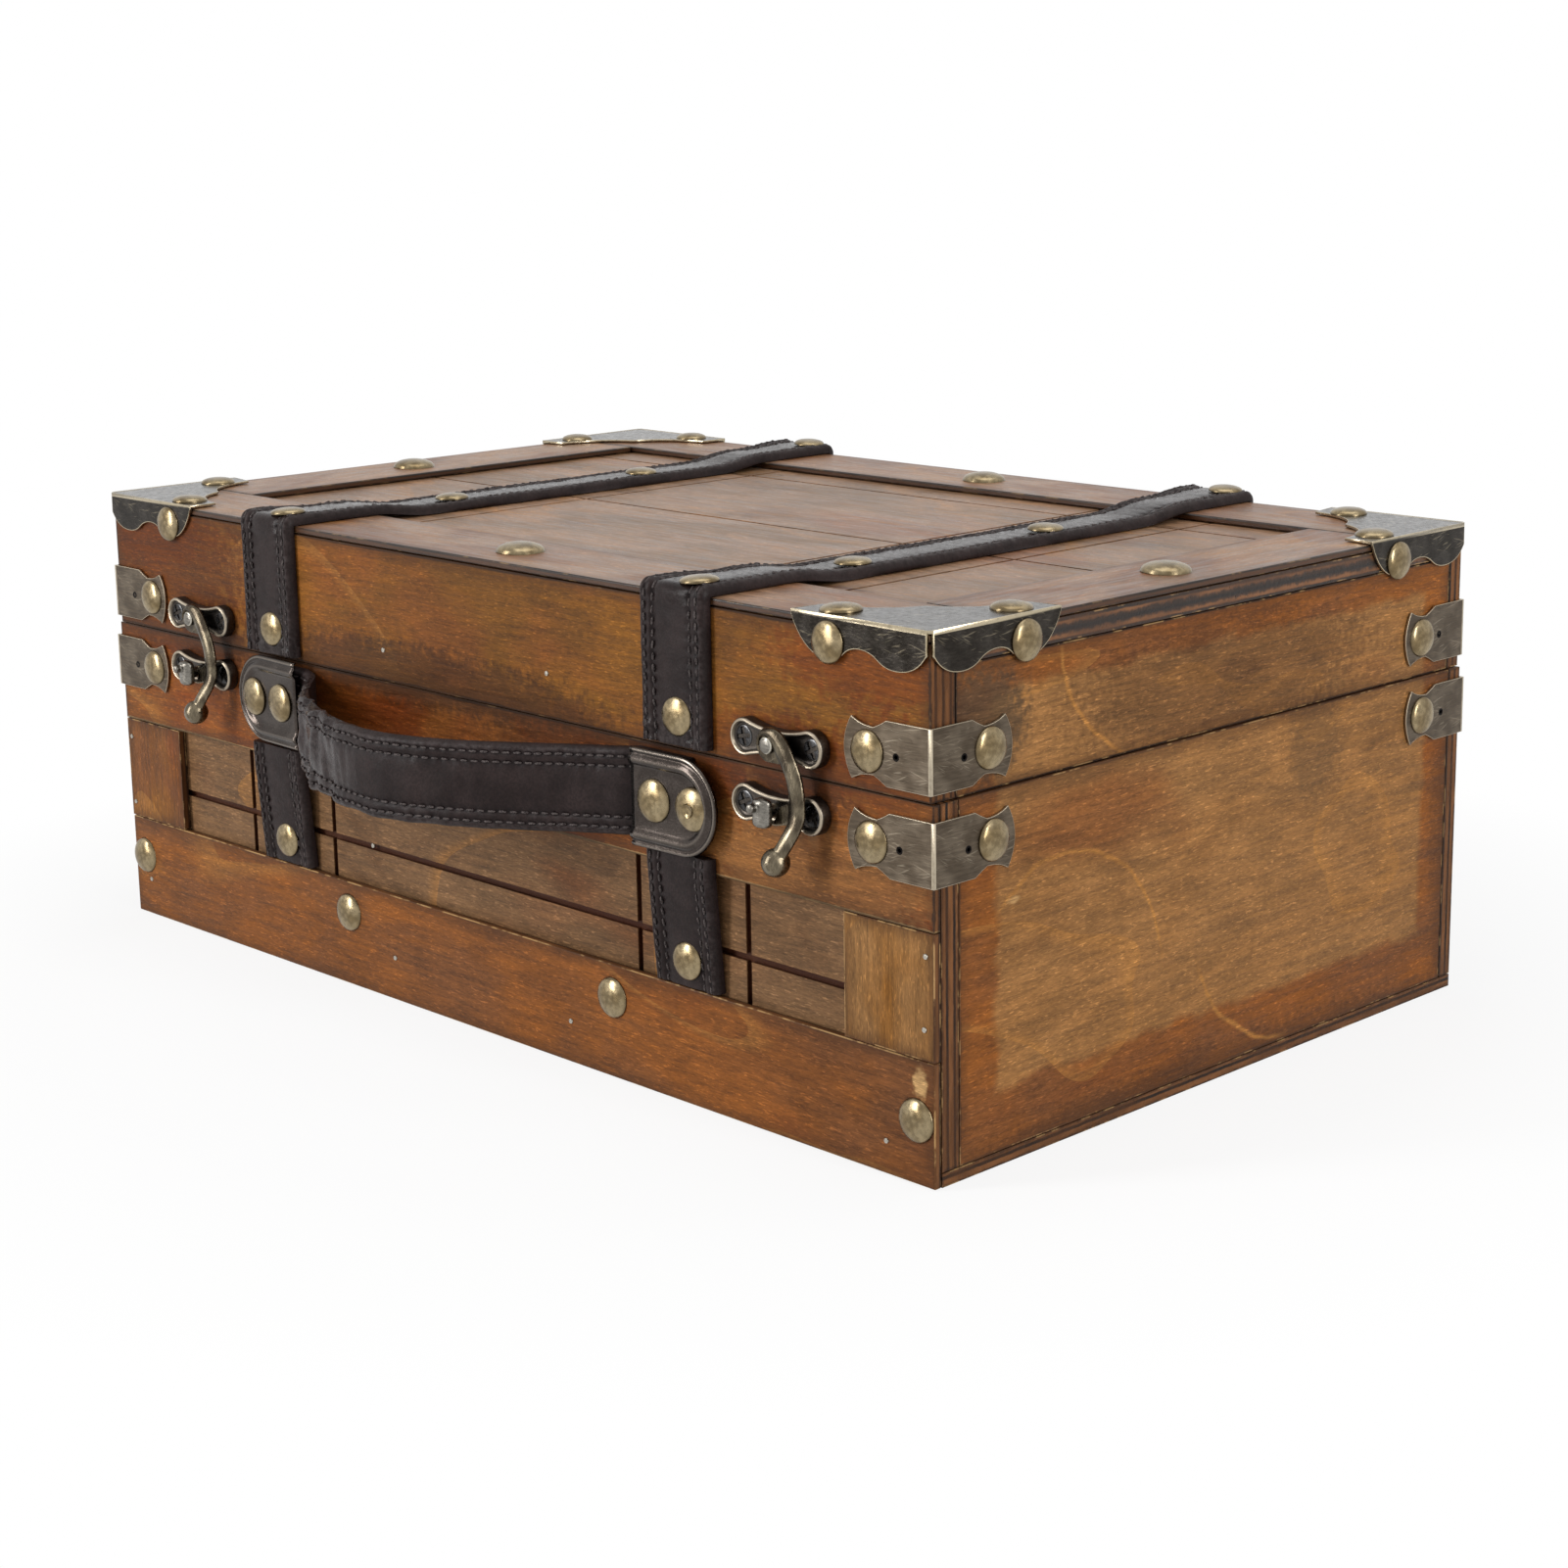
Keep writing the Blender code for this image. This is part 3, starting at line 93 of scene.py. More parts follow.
# Radius and height of each size of tack
TACK_SIZE = (0.0048, 0.0015)
BRACKET_TACK_SIZE = (0.0050, 0.0016)
CORNER_TACK_SIZE = (0.0050, 0.0017)
RAIL_TACK_SIZE = (0.0053, 0.0019)
FRAME_TACK_SIZE = (0.0064, 0.0025)
RIVET_SIZE = (0.0054, 0.0016)

FRAME_TACK_RIGHT = 0.0075
FRAME_TACK_FORWARD = 0.0040
RAIL_TACKS = ((-0.1594, 0.0180), (-0.0555, 0.0208), (0.0555, 0.0209), (0.1594, 0.0152))

BRACKET_THICKNESS = 0.0006
BRACKET_HEIGHT = 0.0149
BRACKET_SHOULDER = 0.0128
BRACKET_WAIST_AT = 0.0168
BRACKET_WAIST = 0.0109
BRACKET_EAR_AT = 0.0236
BRACKET_LENGTH = 0.0259
BRACKET_TACK_AT = 0.0187
LID_BRACKET_Z = 0.09815
CASE_BRACKET_Z = 0.07735

CORNER_THICKNESS = 0.0007
CORNER_LENGTH = 0.0423
CORNER_EAR = (0.0413, 0.0085)
CORNER_CUSP = (0.0220, 0.0220)
CORNER_HOLLOW = (0.0270, 0.0098)
CORNER_SLIT = (0.0005, -0.0048)
CORNER_LOBE = (0.0095, -0.0094)
CORNER_CREST = (0.0210, -0.0059)
CORNER_TACK = (0.0305, -0.0055)
CORNER_TOP_TACK = (0.0325, 0.0056)

LATCH_X = 0.1187
PIVOT_Z = 0.0958
CATCH_Z = 0.0804
HOOK_REACH = 0.0154
LATCH_FACE = 0.0033
LATCH_FLOOR = 0.0021
LATCH_LOBE_RADIUS = 0.0045
LATCH_LOBE_AT = 0.0105
LATCH_SCREW_AT = 0.0111
LATCH_WAIST = 0.0060
HOOK_BASE = 0.0038
HOOK_EYE_THICKNESS = 0.0015
HOOK_ARM_THICKNESS = 0.0024
HOOK_TAIL_LIFT = 0.0034
HOOK_ARM = (
    (-0.19, -0.02), (-0.165, 0.10), (-0.08, 0.178), (0.04, 0.185), (0.16, 0.12), (0.29, -0.03),
    (0.40, -0.21), (0.52, -0.45), (0.57, -0.71), (0.58, -0.99), (0.57, -1.18), (0.51, -1.38), (0.44, -1.51),
)
HOOK_BALL = (0.34, -1.68)
HOOK_TONGUE = (
    (0.49, -0.60), (0.47, -0.71), (0.38, -0.83), (0.23, -0.90), (0.18, -0.95), (0.16, -1.00),
    (0.14, -1.07), (0.09, -1.14), (-0.02, -1.15), (-0.06, -1.17), (0.02, -1.20), (0.16, -1.20),
    (0.33, -1.16), (0.52, -1.13), (0.58, -0.90),
)
HOOK_THROAT = ((-0.08, -0.26), (0.34, -0.26), (0.45, -0.33), (0.40, -0.21), (0.21, 0.03), (0.0, 0.0))

HINGE_X = 0.1193
HINGE_Z = 0.08865
HINGE_LEAF = 0.0010
HINGE_SCREW_SPACING = 0.0085
HINGE_OUTER_SCREW_UP = 0.0070
HINGE_MIDDLE_SCREW_UP = 0.0098

SIDES = (("left", -1), ("right", 1))
CORNERS = {"front_right": 0, "back_right": 90, "back_left": 180, "front_left": -90}
FACE_TURNS = {"front": 0, "right": 90, "back": 180, "left": -90}
X, Y, Z = range(3)


# Nodes

class Level:
    """What comes out of a node. Sums with it make further nodes."""

    def __init__(self, tree, socket):
        self.tree = tree
        self.socket = socket

    def math(self, operation, *others):
        return add_node(self.tree, "Math", dict(enumerate((self, *others))), operation=operation)

    def __add__(self, other):
        return self.math("ADD", other)

    def __sub__(self, other):
        return self.math("SUBTRACT", other)

    def __rsub__(self, other):
        return add_node(self.tree, "Math", {0: other, 1: self}, operation="SUBTRACT")

    def __mul__(self, other):
        return self.math("MULTIPLY", other)

    def __abs__(self):
        return self.math("ABSOLUTE")


def put(tree, socket, value):
    """Link a level to a socket, or set the socket to a plain value."""
    if isinstance(value, Level):
        tree.links.new(value.socket, socket)
    elif socket.type == "RGBA":
        socket.default_value = (*value, 1.0)
    else:
        socket.default_value = value


def add_node(tree, kind, inputs, output=0, **settings):
    """One output of a new node, with its inputs by name or number and its settings."""
    node = tree.nodes.new("ShaderNode" + kind)
    for setting, value in settings.items():
        setattr(node, setting, value)
    for key, value in inputs.items():
        put(tree, node.inputs[key], value)
    return Level(tree, node.outputs[output])


class Shades:
    """Short calls that build one material's nodes. Places are in millimetres at rest."""

    def __init__(self, name, shift=0.0):
        self.material = bpy.data.materials.new(name)
        self.material.use_nodes = True
        self.tree = self.material.node_tree
        self.place = self.vector("MULTIPLY", self.node("TexCoord", {}, "Object"), (1000, 1000, 1000))
        self.shifted = self.vector("ADD", self.place, (shift, 0.7 * shift, 1.3 * shift))

    def node(self, kind, inputs, output=0, **settings):
        return add_node(self.tree, kind, inputs, output, **settings)

    def vector(self, operation, a, b):
        return self.node("VectorMath", {0: a, 1: b}, operation=operation)

    def axis(self, number):
        """The place along one axis."""
        return self.node("SeparateXYZ", {0: self.place}, number)

    def noise(self, scale, stretch=(1, 1, 1), detail=3.0, roughness=0.55, distortion=0.0, turn=0.0):
        """Noise from 0 to 1, with scale in turns per millimetre, drawn out along one axis and turned."""
        place = self.shifted
        if turn:
            place = self.node("VectorRotate", {"Vector": place, "Axis": (0.5, 0.6, 0.62), "Angle": turn})
        return self.node("TexNoise", {
            "Vector": self.vector("MULTIPLY", place, stretch), "Scale": scale, "Detail": detail,
            "Roughness": roughness, "Distortion": distortion,
        }, "Fac")

    def span(self, value, low, high, start=0.0, end=1.0):
        """Smoothly from start, where the value is low, to end, where it is high."""
        return self.node("MapRange", {
            "Value": value, "From Min": low, "From Max": high, "To Min": start, "To Max": end,
        }, interpolation_type="SMOOTHSTEP")

    def mix(self, factor, a, b, blend="MIX"):
        return self.node("Mix", {0: factor, 6: a, 7: b}, 2, data_type="RGBA", blend_type=blend)

    def toned(self, colour, factor):
        """A colour made lighter or darker."""
        grey = self.node("CombineColor", {0: factor, 1: factor, 2: factor})
        return self.mix(1.0, colour, grey, "MULTIPLY")

    def attribute(self, name):
        return self.node("Attribute", {}, "Fac", attribute_name=name)

    def reach(self, centre, size, wobble=0.0, scale=0.5):
        """0 at a place in millimetres and 1 on the ellipsoid of that size round it, a little uneven."""
        offset = self.vector("SUBTRACT", self.place, centre)
        scaled = self.vector("MULTIPLY", offset, tuple(1 / s for s in size))
        distance = self.node("VectorMath", {0: scaled}, "Value", operation="LENGTH")
        return distance + (self.noise(scale, detail=2) - 0.5) * wobble

    def finish(self, colour, roughness, height, bump=0.3, metallic=0.0, specular=0.5):
        """The material, when its colour, roughness and relief are known."""
        shader = self.tree.nodes["Principled BSDF"]
        normal = self.node("Bump", {"Strength": bump, "Distance": 0.0004, "Height": height})
        inputs = {"Base Color": colour, "Roughness": roughness, "Metallic": metallic,
                  "Specular IOR Level": specular, "Normal": normal}
        for key, value in inputs.items():
            put(self.tree, shader.inputs[key], value)
        return self.material


# Wood

WOOD_DARK = (0.060, 0.024, 0.009)
WOOD_ORANGE = (0.205, 0.068, 0.013)
WOOD_GOLD = (0.190, 0.075, 0.011)
WOOD_OLIVE = (0.250, 0.124, 0.042)
WOOD_RED = (0.145, 0.032, 0.005)
WOOD_BROWN = (0.150, 0.056, 0.018)
WOOD_PANEL = (0.142, 0.074, 0.033)
WOOD_DUSTY = (0.172, 0.092, 0.042)
# The lid's top, lighter than the front, partly as painted sheen
WOOD_TOP_WITH_SHEEN = (0.275, 0.155, 0.088)
WOOD_BARE = (0.480, 0.290, 0.120)
WOOD_PALE = (0.340, 0.150, 0.036)
WOOD_BLACK = (0.012, 0.008, 0.006)
WOOD_LAYER = (0.175, 0.072, 0.026)
WOOD_GROOVE = (0.040, 0.010, 0.005)
# Painted shadow beside the latches, and the dark rim of the scar on the top
WOOD_LATCH_SHADOW_AND_SCAR = (0.075, 0.026, 0.012)
WOOD_SMOKE = (0.052, 0.034, 0.020)
# Painted shadow beside the latches, darker nearer them
WOOD_LATCH_SHADOW = (0.030, 0.012, 0.006)
WOOD_GLOOM = (0.085, 0.022, 0.005)
WOOD_SCAR = (0.30, 0.05, 0.03)


def edge_distances(shades, low, high):
    """Distances in millimetres from the three pairs of sides of a board's box."""
    sides = []
    for number, (a, b) in enumerate(zip(low, high)):
        offset = shades.axis(number) - 500 * (a + b)
        sides.append(500 * (b - a) - abs(offset))
    return sides


def middle_of(a, b, c):
    """The middle one of three levels."""
    return a.math("MINIMUM", b).math("MAXIMUM", a.math("MAXIMUM", b).math("MINIMUM", c))


def spotted(shades, colour, marks):
    """Ragged spots of other colours: place and reach in millimetres, colour and strength."""
    for place, reach, stain, strength in marks:
        spot = shades.span(shades.reach(place, reach, 1.1), 0.6, 1.15, strength, 0.0)
        colour = shades.mix(spot, colour, stain)
    return colour


def tidelines(shades, colour, lines):
    """Thin pale lines where damp has dried: parts of ellipses that show inside a window."""
    for place, reach, window, window_reach in lines:
        off = abs(shades.reach(place, reach, 0.10, 0.06) - 1.0)
        shown = shades.span(shades.reach(window, window_reach), 0.75, 1.05, 0.75, 0.0)
        colour = shades.mix(shades.span(off, 0.0, 0.025, 1.0, 0.0) * shown, colour, WOOD_PALE)
    return colour


def wood(name, box, grain, base, other, shift, inner=None, sunk=None, marks=(), tides=(), bands=(), worn=0.5,
         gloss=0.10, layer=WOOD_LAYER):
    """Stained plywood: grain along one axis, layers on its edges, dark and worn rims, and some marks."""
    low, high = box
    size = [b - a for a, b in zip(low, high)]
    thin = size.index(min(size))
    shades = Shades(name, shift)
    along, broad, short = (
        tuple(share if k == grain else 1.0 for k in range(3)) for share in (0.07, 0.45, 0.18))
    flat = tuple(1.0 if k == thin else 0.15 for k in range(3))
    sides = edge_distances(shades, low, high)
    rim = middle_of(*sides)

    cloud = shades.noise(0.045, broad, 3.0, 0.6, 0.6)
    colour = shades.mix(shades.span(cloud, 0.36, 0.66), base, other)
    if inner:
        a, b, c = edge_distances(shades, *inner)
        reach = a.math("MINIMUM", b).math("MINIMUM", c)
        inside = shades.span(reach + (shades.noise(0.12, detail=3) - 0.5) * 6.0, -1.6, 1.6)
        colour = shades.mix(inside * 0.8, colour, WOOD_OLIVE)
    red = shades.span(shades.noise(0.028, broad, 2.0, 0.5, 0.4), 0.56, 0.74)
    colour = shades.mix(red * 0.45, colour, WOOD_RED)
    dirt = shades.span(shades.noise(0.05, broad, 4.0, 0.65, 0.8), 0.52, 0.78)
    colour = shades.mix(dirt * 0.55, colour, WOOD_DARK)
    flame = (shades.noise(0.014, broad, 2.0, 0.4, 0.5) * 5.0).math("FRACT")
    colour = shades.mix(shades.span(flame, 0.86, 1.0, 0.0, 0.42), colour, WOOD_PALE)
    colour = tidelines(shades, spotted(shades, colour, marks), tides)

    mottle = shades.span(shades.noise(0.11, broad, 5.0, 0.7, 0.5), 0.30, 0.70, 0.84, 1.14)
    fibre = shades.noise(0.9, along, 4.0, 0.6, 0.6)
    fine = shades.noise(3.0, short, 3.0, 0.65, 0.4)
    glint = shades.span(shades.noise(2.3, short, 2.0, 0.6, 0.5), 0.57, 0.73, 0.0, 0.95)
    tone = shades.span(fibre, 0.30, 0.70, 0.74, 1.18) + shades.span(fine, 0.3, 0.7, -0.20, 0.20)
    colour = shades.toned(colour, (tone + glint) * mottle)

    uneven = shades.noise(0.35, along, 3.0, 0.6) - 0.5
    colour = shades.mix(shades.span(rim + uneven * 5.0, 0.0, 4.5, 0.55, 0.0), colour, WOOD_DARK)
    first, second = (side for k, side in enumerate(sides) if k != thin)
    on_edge = shades.span(first.math("MINIMUM", second), 0.18, 0.40, 1.0, 0.0)
    layers = ((shades.axis(thin) + shades.noise(0.25) * 0.5) * 0.42).math("PINGPONG", 0.5)
    ply = shades.mix(shades.span(layers, 0.10, 0.26), WOOD_BLACK, layer)
    ply = shades.mix(shades.span(shades.noise(0.3, flat, 4.0), 0.35, 0.62, 0.0, 0.75), ply, WOOD_DARK)
    colour = spotted(shades, shades.mix(on_edge, colour, ply), bands)

    burnt = shades.span(rim + uneven * 1.6, 0.15, 0.75, 0.9 - 0.7 * worn, 0.0)
    colour = shades.mix(burnt, colour, WOOD_BLACK)
    chips = shades.span(shades.noise(0.16, detail=4, roughness=0.6), 0.62 - 0.22 * worn, 0.70 - 0.16 * worn)
    bare = shades.span(rim, 0.10, 0.42, 1.0, 0.0) * chips * worn
    colour = shades.mix(bare, colour, WOOD_BARE)
    if sunk:
        number, level, direction = sunk
        deep = (shades.axis(number) - level) * direction
        groove = shades.span(deep, 0.15, 0.45, 0.0, 0.9) * shades.span(deep, 1.9, 2.3, 1.0, 0.0)
        colour = shades.mix((groove - on_edge).math("MAXIMUM", 0.0), colour, WOOD_GROOVE)
    rough = shades.span(fibre, 0.3, 0.7, 0.44 - 0.60 * gloss, 0.64 - 0.60 * gloss)
    return shades.finish(colour, rough, fibre * 0.6 + fine * 0.4, 0.35, specular=gloss)


# Leather, thread and metal

def leather():
    """Dark brown leather with a fine grain, creases and a grey sheen; lighter at its rolled edges and where a
    painted sheen is set, with painted shade in its sewn grooves.
    """
    shades = Shades("dark_leather")
    cloud = shades.span(shades.noise(0.12, detail=3), 0.35, 0.7)
    colour = shades.mix(cloud, (0.0125, 0.0074, 0.0070), (0.0225, 0.0142, 0.0134))
    grain = shades.noise(1.5, detail=4, roughness=0.6)
    colour = shades.toned(colour, shades.span(grain, 0.3, 0.7, 0.72, 1.3))
    # Lighter where wear_and_light is set: at the rolled edges, and as painted sheen where a strap is given
    # shine
    scuff_and_sheen = shades.attribute("wear_and_light") * shades.span(shades.noise(0.8, detail=4), 0.4, 0.65)
    colour = shades.mix(scuff_and_sheen * 0.45, colour, (0.070, 0.056, 0.054))
    # Painted shade in the sewn grooves, darkest at the needle holes
    colour = shades.mix(shades.attribute("seam_shade"), colour, (0.006, 0.004, 0.0045))
    crease = shades.noise(0.5, detail=5, roughness=0.65, distortion=0.8)
    rough = shades.span(crease, 0.3, 0.7, 0.36, 0.56) - shades.attribute("polish")
    return shades.finish(colour, rough, grain * 0.5 + crease * 0.5, 0.35, specular=0.12)


def thread():
    """Dark twisted sewing thread."""
    shades = Shades("dark_thread")
    twist = shades.noise(3.0, detail=2)
    colour = shades.mix(shades.span(twist, 0.35, 0.65), (0.018, 0.013, 0.013), (0.095, 0.077, 0.073))
    return shades.finish(colour, 0.62, twist, 0.5, specular=0.2)


def metal(name, dark, light, edge, roughness, brush=(1, 1, 1), specks=0.5, scratches=0.0, shift=0.0):
    """Aged metal: patchy tone, brushed lines, dark specks, fine scratches, an edge colour on worn rims that
    is also painted highlight (painted shade on the tack rims), and painted shade in screw slots.
    """
    shades = Shades(name, shift)
    patch = shades.span(shades.noise(0.20, detail=2, roughness=0.45), 0.35, 0.68)
    lines = shades.noise(2.4, brush, 4.0, 0.6)
    colour = shades.toned(shades.mix(patch, dark, light), shades.span(lines, 0.3, 0.7, 0.80, 1.20))
    if scratches:
        for turn in (0.40, -0.35, 0.75):
            scratch = shades.span(shades.noise(2.2, (0.07, 0.07, 1.0), 2.0, 0.5, 0.2, turn), 0.65, 0.72)
            colour = shades.mix(scratch * scratches, colour, edge)
    speck = shades.span(shades.noise(1.3, detail=3, roughness=0.7), 0.63, 0.72)
    colour = shades.mix(speck * specks, colour, tuple(0.25 * v for v in dark))
    # Painted shade: near black where slot_shade is set, in the cross of each screw
    colour = shades.mix(shades.attribute("slot_shade"), colour, (0.004, 0.004, 0.004))
    # Edge colour where wear_and_light is set: worn rims that also paint the highlights on edges of sheets and
    # plates; on the brass tacks the edge colour is darker, painted shade on their rims
    rubbed_and_lit = shades.span(shades.noise(0.7, detail=4), 0.30, 0.50, 0.75, 1.0)
    colour = shades.mix(rubbed_and_lit * shades.span(shades.attribute("wear_and_light"), 0.25, 0.85), colour, edge)
    rough = shades.span(lines, 0.3, 0.7, roughness - 0.06, roughness + 0.08)
    return shades.finish(colour, rough, lines, 0.07, 1.0)


# Outlines, paths and places

def arc(centre, radius, start, end, steps):
    """Points on an arc between two angles in degrees."""
    points = []
    for k in range(steps + 1):
        angle = math.radians(start + (end - start) * k / steps)
        points.append((centre[0] + radius * math.cos(angle), centre[1] + radius * math.sin(angle)))
    return points


def circle(sides):
    """Points round a circle of radius 1."""
    turns = [2 * math.pi * k / sides for k in range(sides)]
    return [(math.cos(turn), math.sin(turn)) for turn in turns]


def bend(start, pull, end, steps):
    """Points on a quadratic curve after its start, up to its end."""
    points = []
    for t in (k / steps for k in range(1, steps + 1)):
        point = ((1 - t) ** 2 * a + 2 * t * (1 - t) * b + t ** 2 * c for a, b, c in zip(start, pull, end))
        points.append(tuple(point))
    return points


def smooth_path(points, steps):
    """A curve through all the points."""
    path = []
    padded = [points[0], *points, points[-1]]
    for before, start, end, after in zip(padded, padded[1:], padded[2:], padded[3:]):
        for t in (k / steps for k in range(steps)):
            path.append(0.5 * (
                2 * start + (end - before) * t + (2 * before - 5 * start + 4 * end - after) * t ** 2
                + (3 * start - before - 3 * end + after) * t ** 3))
    path.append(points[-1])
    return path


def evenly(points, step):
    """The same path with points about one step apart."""
    path = [points[0]]
    for start, end in zip(points, points[1:]):
        count = max(1, round((end - start).length / step))
        path += [start.lerp(end, k / count) for k in range(1, count + 1)]
    return path


def smooth_step(value, low, high):
    """From 0 at low to 1 at high."""
    t = min(1.0, max(0.0, (value - low) / (high - low)))
    return t * t * (3 - 2 * t)


def bump(value, centre, width):
    """1 at the centre, falling smoothly to 0 at the width."""
    return 1 - smooth_step(abs(value - centre), 0.0, width)


def ripple(*place):
    """Smooth noise from -1 to 1."""
    return noise.noise(Vector(place))


def move(x, y, z=0.0):
    return Matrix.Translation((x, y, z))


def rotate(angle, axis):
    """A turn by an angle in degrees."""
    return Matrix.Rotation(math.radians(angle), 4, axis)


def face_frame(face, place):
    """x right, y up and z outward on a face of the trunk."""
    return move(*place) @ rotate(FACE_TURNS[face], "Z") @ rotate(90, "X")


# Pieces

def mesh_from(shape, name, *materials):
    """The finished mesh of a shape, with its materials."""
    mesh = bpy.data.meshes.new(name)
    shape.to_mesh(mesh)
    shape.free()
    for material in materials:
        mesh.materials.append(material)
    return mesh


def point_layer(shape, name):
    """A layer of values on a shape's points, made if there is none of that name."""
    layers = shape.verts.layers.float
    return layers.get(name) or layers.new(name)


def piece(name, shape, materials, body, replaced=(), turn=Matrix(), sharp=40):
    """An object that rides on a body, from a shape and its materials or from a finished mesh."""
    mesh = mesh_from(shape, name, *materials) if materials else shape
    mesh.shade_smooth()
    mesh.set_sharp_from_angle(angle=math.radians(sharp))
    thing = bpy.data.objects.new(name, mesh)
    thing.matrix_world = turn
    bpy.context.collection.objects.link(thing)
    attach(thing, body)
    if replaced:
        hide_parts(*replaced)
    return thing


def modify(thing, name, kind, **settings):
    """A modifier with its settings."""
    modifier = thing.modifiers.new(name, kind)
    for setting, value in settings.items():
        setattr(modifier, setting, value)


def add_rings(shape, rings, low_end=True):
    """Faces between rings of points, with the ends filled."""
    rows = [[shape.verts.new(point) for point in ring] for ring in rings]
    if low_end:
        shape.faces.new(reversed(rows[0]))
    shape.faces.new(rows[-1])
    for lower, upper in zip(rows, rows[1:]):
        for k in range(len(lower)):
            shape.faces.new((lower[k - 1], lower[k], upper[k], upper[k - 1]))
    return rows


def add_turned(shape, profile, sides, at=Matrix(), low_end=True):
    """A turned solid from radii and heights."""
    rings = []
    for radius, height in profile:
        rings.append([at @ Vector((radius * x, radius * y, height)) for x, y in circle(sides)])
    return add_rings(shape, rings, low_end)


def turned_mesh(name, profile, sides, material):
    """A turned solid as a finished mesh."""
    shape = bmesh.new()
    add_turned(shape, profile, sides)
    return mesh_from(shape, name, material)


def tack_mesh(name, size, material, boss=False):
    """A domed head with a thin rolled rim, a little uneven."""
    radius, height = size
    profile = [(0.93 * radius, -0.0002), (0.99 * radius, -0.0001)]
    profile += [(radius, 0.00015), (0.985 * radius, 0.0003)]
    for angle in range(14, 90, 8):
        turn = math.radians(angle)
        profile.append((0.975 * radius * math.cos(turn), 0.0002 + (height - 0.0002) * math.sin(turn) ** 0.9))
    if boss:
        top = profile[-1][1]
        profile = profile[:-2]
        profile += [(0.30 * radius, top - 0.0002), (0.28 * radius, top + 0.0001), (0.22 * radius, top)]
        profile += [(0.18 * radius, top - 0.0001), (0.08 * radius, top)]
    shape = bmesh.new()
    wear_and_light = point_layer(shape, "wear_and_light")
    add_turned(shape, profile, 40)
    for vert in shape.verts:
        dent = 0.000035 * ripple(vert.co.x * 400, vert.co.y * 400, radius * 9000)
        vert.co.z += dent * smooth_step(vert.co.z, 0.0003, 0.5 * height)
        # Painted shade: the rolled rim takes the brass edge colour, which is darker than the dome
        vert[wear_and_light] = 0.6 * bump(math.hypot(vert.co.x, vert.co.y), radius, 0.12 * radius)
    return mesh_from(shape, name, material)


def add_tack(name, mesh, body, at, tilt):
    """One tack, leaning a few degrees and turned its own way."""
    spin = Matrix.Rotation(3.0 * ripple(*(at.translation * 60)), 4, "Z")
    piece(name, mesh, (), body, turn=at @ rotate(tilt, "Y") @ spin)


# Straps and handle

STRAP_STEP = 0.00085
STRAP_EASE = 0.0020
STITCH_LENGTH = 0.0020
STITCH_PITCH = 0.0030
STITCH_RADIUS = 0.00034
STITCH_LIFT = 0.00026
SEAM_ROWS = (0.57, 0.80)

# Places across a strap's face, as shares of its half width, closer together at its edges and seams
HALF_SECTION = (1.0, 0.985, 0.95, 0.90, 0.86, 0.83, 0.80, 0.77, 0.71, 0.64, 0.60, 0.57, 0.54, 0.40, 0.15)
SECTION = [-share for share in HALF_SECTION] + list(reversed(HALF_SECTION))

# Place along the handle, half width and rise of each of its folds
HANDLE_FOLDS = (
    (0.030, 0.004, 0.0010), (0.038, 0.003, -0.0009), (0.046, 0.004, 0.0012),
    (0.0525, 0.0022, -0.0010), (0.061, 0.005, 0.0011), (0.074, 0.004, -0.0005),
)


def pucker(travel):
    """1 at the needle holes between two stitches, 0 under the middle of a stitch."""
    hole = (STITCH_LENGTH + STITCH_PITCH) / 2
    return 0.5 + 0.5 * math.cos(2 * math.pi * (travel - hole) / STITCH_PITCH)


def strap_height(across, travel, thickness, seed):
    """Height of a strap's face above its back: rolled edges, two sewn rows on each side, a flatter middle."""
    edge = abs(across)
    roll = math.sqrt(max(0.0, 1 - (max(0.0, edge - 0.82) / 0.18) ** 2))
    share = 0.18 + 0.82 * roll
    share -= 0.16 * (1 - smooth_step(edge, 0.50, 0.86))
    for row in SEAM_ROWS:
        share -= (0.06 + 0.20 * pucker(travel)) * bump(edge, row, 0.075)
    share += (0.05 + 0.10 * bump(edge, 0.69, 0.25)) * ripple(travel * 420, across * 9, seed)
    share += 0.05 * ripple(travel * 60, across * 2, seed + 7)
    return thickness * share


def lie_flat(share, travel):
    """No added height, and no shift to the side."""
    return 0.0, 0.0


def stay_dull(travel):
    """No painted sheen and no polish."""
    return 0.0


